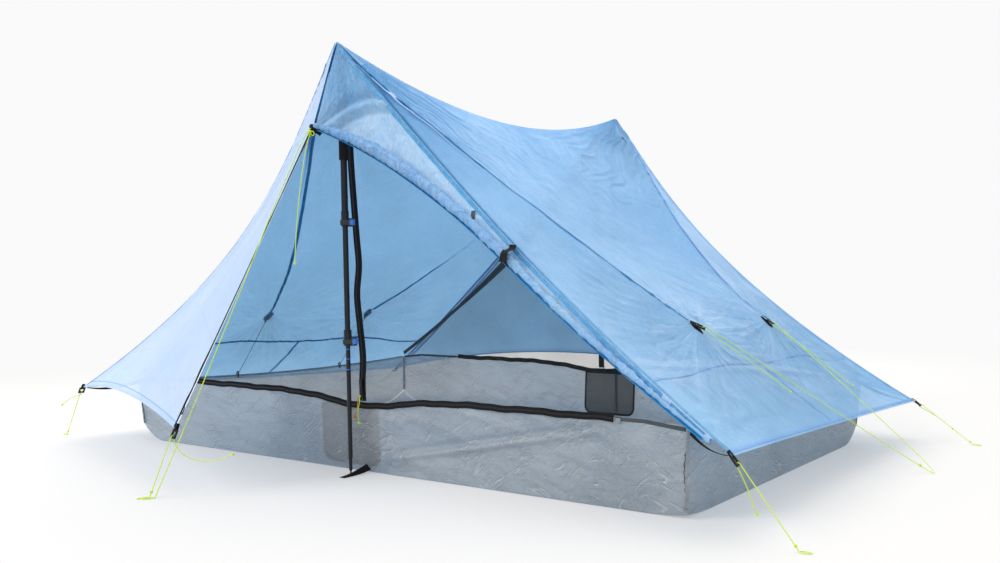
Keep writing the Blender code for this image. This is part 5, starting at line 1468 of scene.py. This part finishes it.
def zip_pulls(side):
    """Two short cords on the zip's pull."""
    line = zip_line(side, (SLIDER_HEIGHT - 0.196) / 0.976)
    for name, shift, length, finish in (("yellow", 0.006, 0.075, "cord"), ("orange", -0.004, 0.058, "orange")):
        start = line + outward(side) * 0.010 + vec(shift * 0.3, 0, -0.040)
        places = [start]
        for share in (0.2, 0.4, 0.6, 0.8, 1.0):
            wave = 0.004 * math.sin(share * 5 + shift * 300)
            places.append(start + vec(shift * share * 1.4 + wave, SIDES[side] * 0.010 * share, -length * share))
        parts = [knot(f"zip_pull_knot_{name}_{side}", places[-1], places[-1] - places[-2], 0.0036, finish),
                 knot(f"zip_pull_tie_{name}_{side}", start + vec(0, 0, 0.001), (0, 0, 1), 0.0030, finish)]
        free_cord(f"zip_pull_{name}_{side}", places, parts, (), side + "_zip", finish=finish)


# Hardware
def beak_hardware(side):
    """Webbing at the beak's corner, over the ends of its guyline, and at the near one a bow of cord."""
    top, out = apex(side), outward(side)
    line = np.array([top + vec(x, y * SIDES[side], z) for x, y, z in BEAK_TAB])
    normals = np.repeat(unit(line - (top - out * 0.03)), 5, axis=0)[:21]
    strip("beak_tab_" + side, smooth_route(line, 5), normals, 0.018, 0.0022, "webbing", 0.0012)
    line = [top + out * 0.006 - vec(0, 0, 0.002 + 0.005 * k) for k in range(5)]
    strip("beak_loop_" + side, line, out, 0.010, 0.002, "webbing", 0.0012)
    if side == "far":
        return
    for word, lean in (("low", 1.0), ("high", -0.7)):
        route = []
        for t in turns(24):
            r, a = 0.013 * (1 - math.cos(t)) / 2 + 0.001, lean + 0.5 * math.sin(t)
            place = vec(r * math.sin(a) + 0.003, -0.003 * math.cos(t), -0.010 - r * 1.3 * math.cos(a))
            route.append(top + out * 0.013 + place)
        place_on(tube("beak_bow_" + word, route, CORD * 0.9, "cord", closed=True))
    place_on(knot("beak_bow_knot", top + out * 0.014 + vec(0.002, 0, -0.011), (0, 0, 1), 0.0042))


def pole_rings(side):
    """Three thin blue rings that mark how far a pole's lowest section is drawn out."""
    foot, head = (np.array(place) for place in POLES[side])
    up = unit(head - foot)
    turn = Vector(up).to_track_quat("Z", "Y").to_matrix()
    for number, height in enumerate(RING_PLACES):
        places = [Vector(foot + up * height) + turn @ Vector((radius * math.cos(a), radius * math.sin(a), rise))
                  for radius, rise in RING_PROFILE for a in turns(RING_SIDES)]
        faces = quads(len(RING_PROFILE), RING_SIDES, looped=True)
        place_on(add_mesh(f"pole_ring_{side}_{number}", places, faces, "blue_metal"), side + "_lower_pole")


def make_strap(side, end):
    low = end_wall_point(end, SIDES[side] * HALF_WIDTH, 1) + vec(ENDS[end] * (CLOTH + CLOTH_GAP), 0, -STRAP_WIDTH / 2)
    high = low + (canopy_corner(side, end) - low) * STRAP_REACH_SHARE - vec(0, 0, LAYER)
    share = np.linspace(0, 1, 26)
    line = between(low, high, share) - vec(0, 0, STRAP_SAG) * col(skewed_bow(share))
    lean, sideways = math.pi / 2 * share, unit(np.cross(high - low, (0, 0, 1)))
    across = sideways * col(np.sin(lean)) + vec(0, 0, 1) * col(np.cos(lean))
    strip(f"corner_webbing_{side}_{end}", line, np.cross(across, unit(np.gradient(line, axis=0))), 0.012, 0.0012,
          "webbing", -0.0006, replaces=(f"corner_strap_{side}_{end}",))
    tab_through(f"corner_tab_{side}_{end}", corner_frame(side, end), 0.016)


def dress_solids():
    looks = {name: two_tone(name + "_look", middle) for name, middle in LEVER_NUTS.items()}
    for finish, starts in SOLID_FINISHES.items():
        looks.update((start, FINISHES[finish][1]) for start in starts)
    for name, solid in nodes.items():
        for start, look in looks.items():
            if name.startswith(start):
                solid.data.materials.clear()
                solid.data.materials.append(look)


# Stage
def rays(tree, *kinds):
    """1 for the camera's rays and those of the given kinds."""
    found = node("LightPath", {}, "Is Camera Ray", tree)
    for kind in kinds:
        found = maths("MAXIMUM", found, node("LightPath", {}, f"Is {kind} Ray", tree))
    return found


def make_stage():
    size = FLOOR_HALF_SIZE
    data = bpy.data.meshes.new("studio_floor")
    data.from_pydata([(-size, -size, 0), (size, -size, 0), (size, size, 0), (-size, size, 0)], [], [(0, 1, 2, 3)])
    floor = add_object("studio_floor", data)
    floor.location.z = -FLOOR_DROP
    made, place = new_material("pale floor", "NewGeometry", "Position")
    tree = made.node_tree
    lit = node("BsdfDiffuse", {"Color": FLOOR_COLOUR}, tree=tree)
    glow = node("Emission", {"Color": BACKGROUND, "Strength": 1.0}, tree=tree)
    far = vector_maths("LENGTH", place, output=1)
    share = ramp(far, *FLOOR_FADE, FLOOR_GLOW_SHARE, 1) * rays(tree, "Glossy")
    data.materials.append(ended(made, node("MixShader", {0: share, 1: lit, 2: glow})))
    world = bpy.data.worlds.new("studio")
    bpy.context.scene.world = world
    world.use_nodes = True
    tree = world.node_tree
    tree.nodes.clear()
    light = node("Background", {"Color": (1, 1, 1), "Strength": WORLD_STRENGTH}, tree=tree)
    back = node("Background", {"Color": BACKGROUND, "Strength": 1.0}, tree=tree)
    sky = node("MixShader", {0: rays(tree, "Glossy", "Transmission"), 1: light, 2: back})
    node("OutputWorld", {"Surface": sky})
    for name, place, lamp_size, power in LAMPS:
        lamp = bpy.data.lights.new(name, "AREA")
        lamp.size = lamp_size
        lamp.energy = power
        made = add_object(name, lamp)
        made.location = place
        made.rotation_euler = (Vector(LAMP_TARGET) - Vector(place)).to_track_quat("-Z", "Y").to_euler()
    bpy.context.scene.view_settings.view_transform = "Standard"


def make_camera():
    data = bpy.data.cameras.new("camera")
    data.sensor_width = SENSOR_WIDTH
    data.lens = LENS
    data.shift_x = SHIFT_X
    made = add_object("camera", data)
    azimuth, elevation = math.radians(CAMERA_AZIMUTH), math.radians(CAMERA_ELEVATION)
    level = math.cos(elevation)
    forward = Vector((level * math.cos(azimuth), level * math.sin(azimuth), math.sin(elevation)))
    made.location = CAMERA_PLACE
    made.rotation_euler = forward.to_track_quat("-Z", "Y").to_euler()
    bpy.context.scene.camera = made


CORNERS = [(side, end) for side in SIDES for end in ENDS]
make_camera()
make_stage()
make_cords()
for side, end in CORNERS:
    make_inner_tie(side, end)
for side in SIDES:
    zip_pulls(side)
for end in ENDS:
    roof_trim(end, make_roof(end))
for side, end in (("near", "left"), ("far", "left"), ("far", "right")):
    door_trim(side, end, make_door(side, end))
make_rolled_door()
make_bathtub()
bathtub_trim()
for side in SIDES:
    for end in ENDS:
        make_mesh_panel(side, end)
    make_zip(side)
for side in SIDES:
    make_pocket(side)
for side, end in CORNERS:
    make_strap(side, end)
tab_through("door_tab_near", near_door_frame(), 0.016, "near_left_door")
for side in SIDES:
    beak_hardware(side)
roll_strap()
for side in SIDES:
    pole_rings(side)
dress_solids()
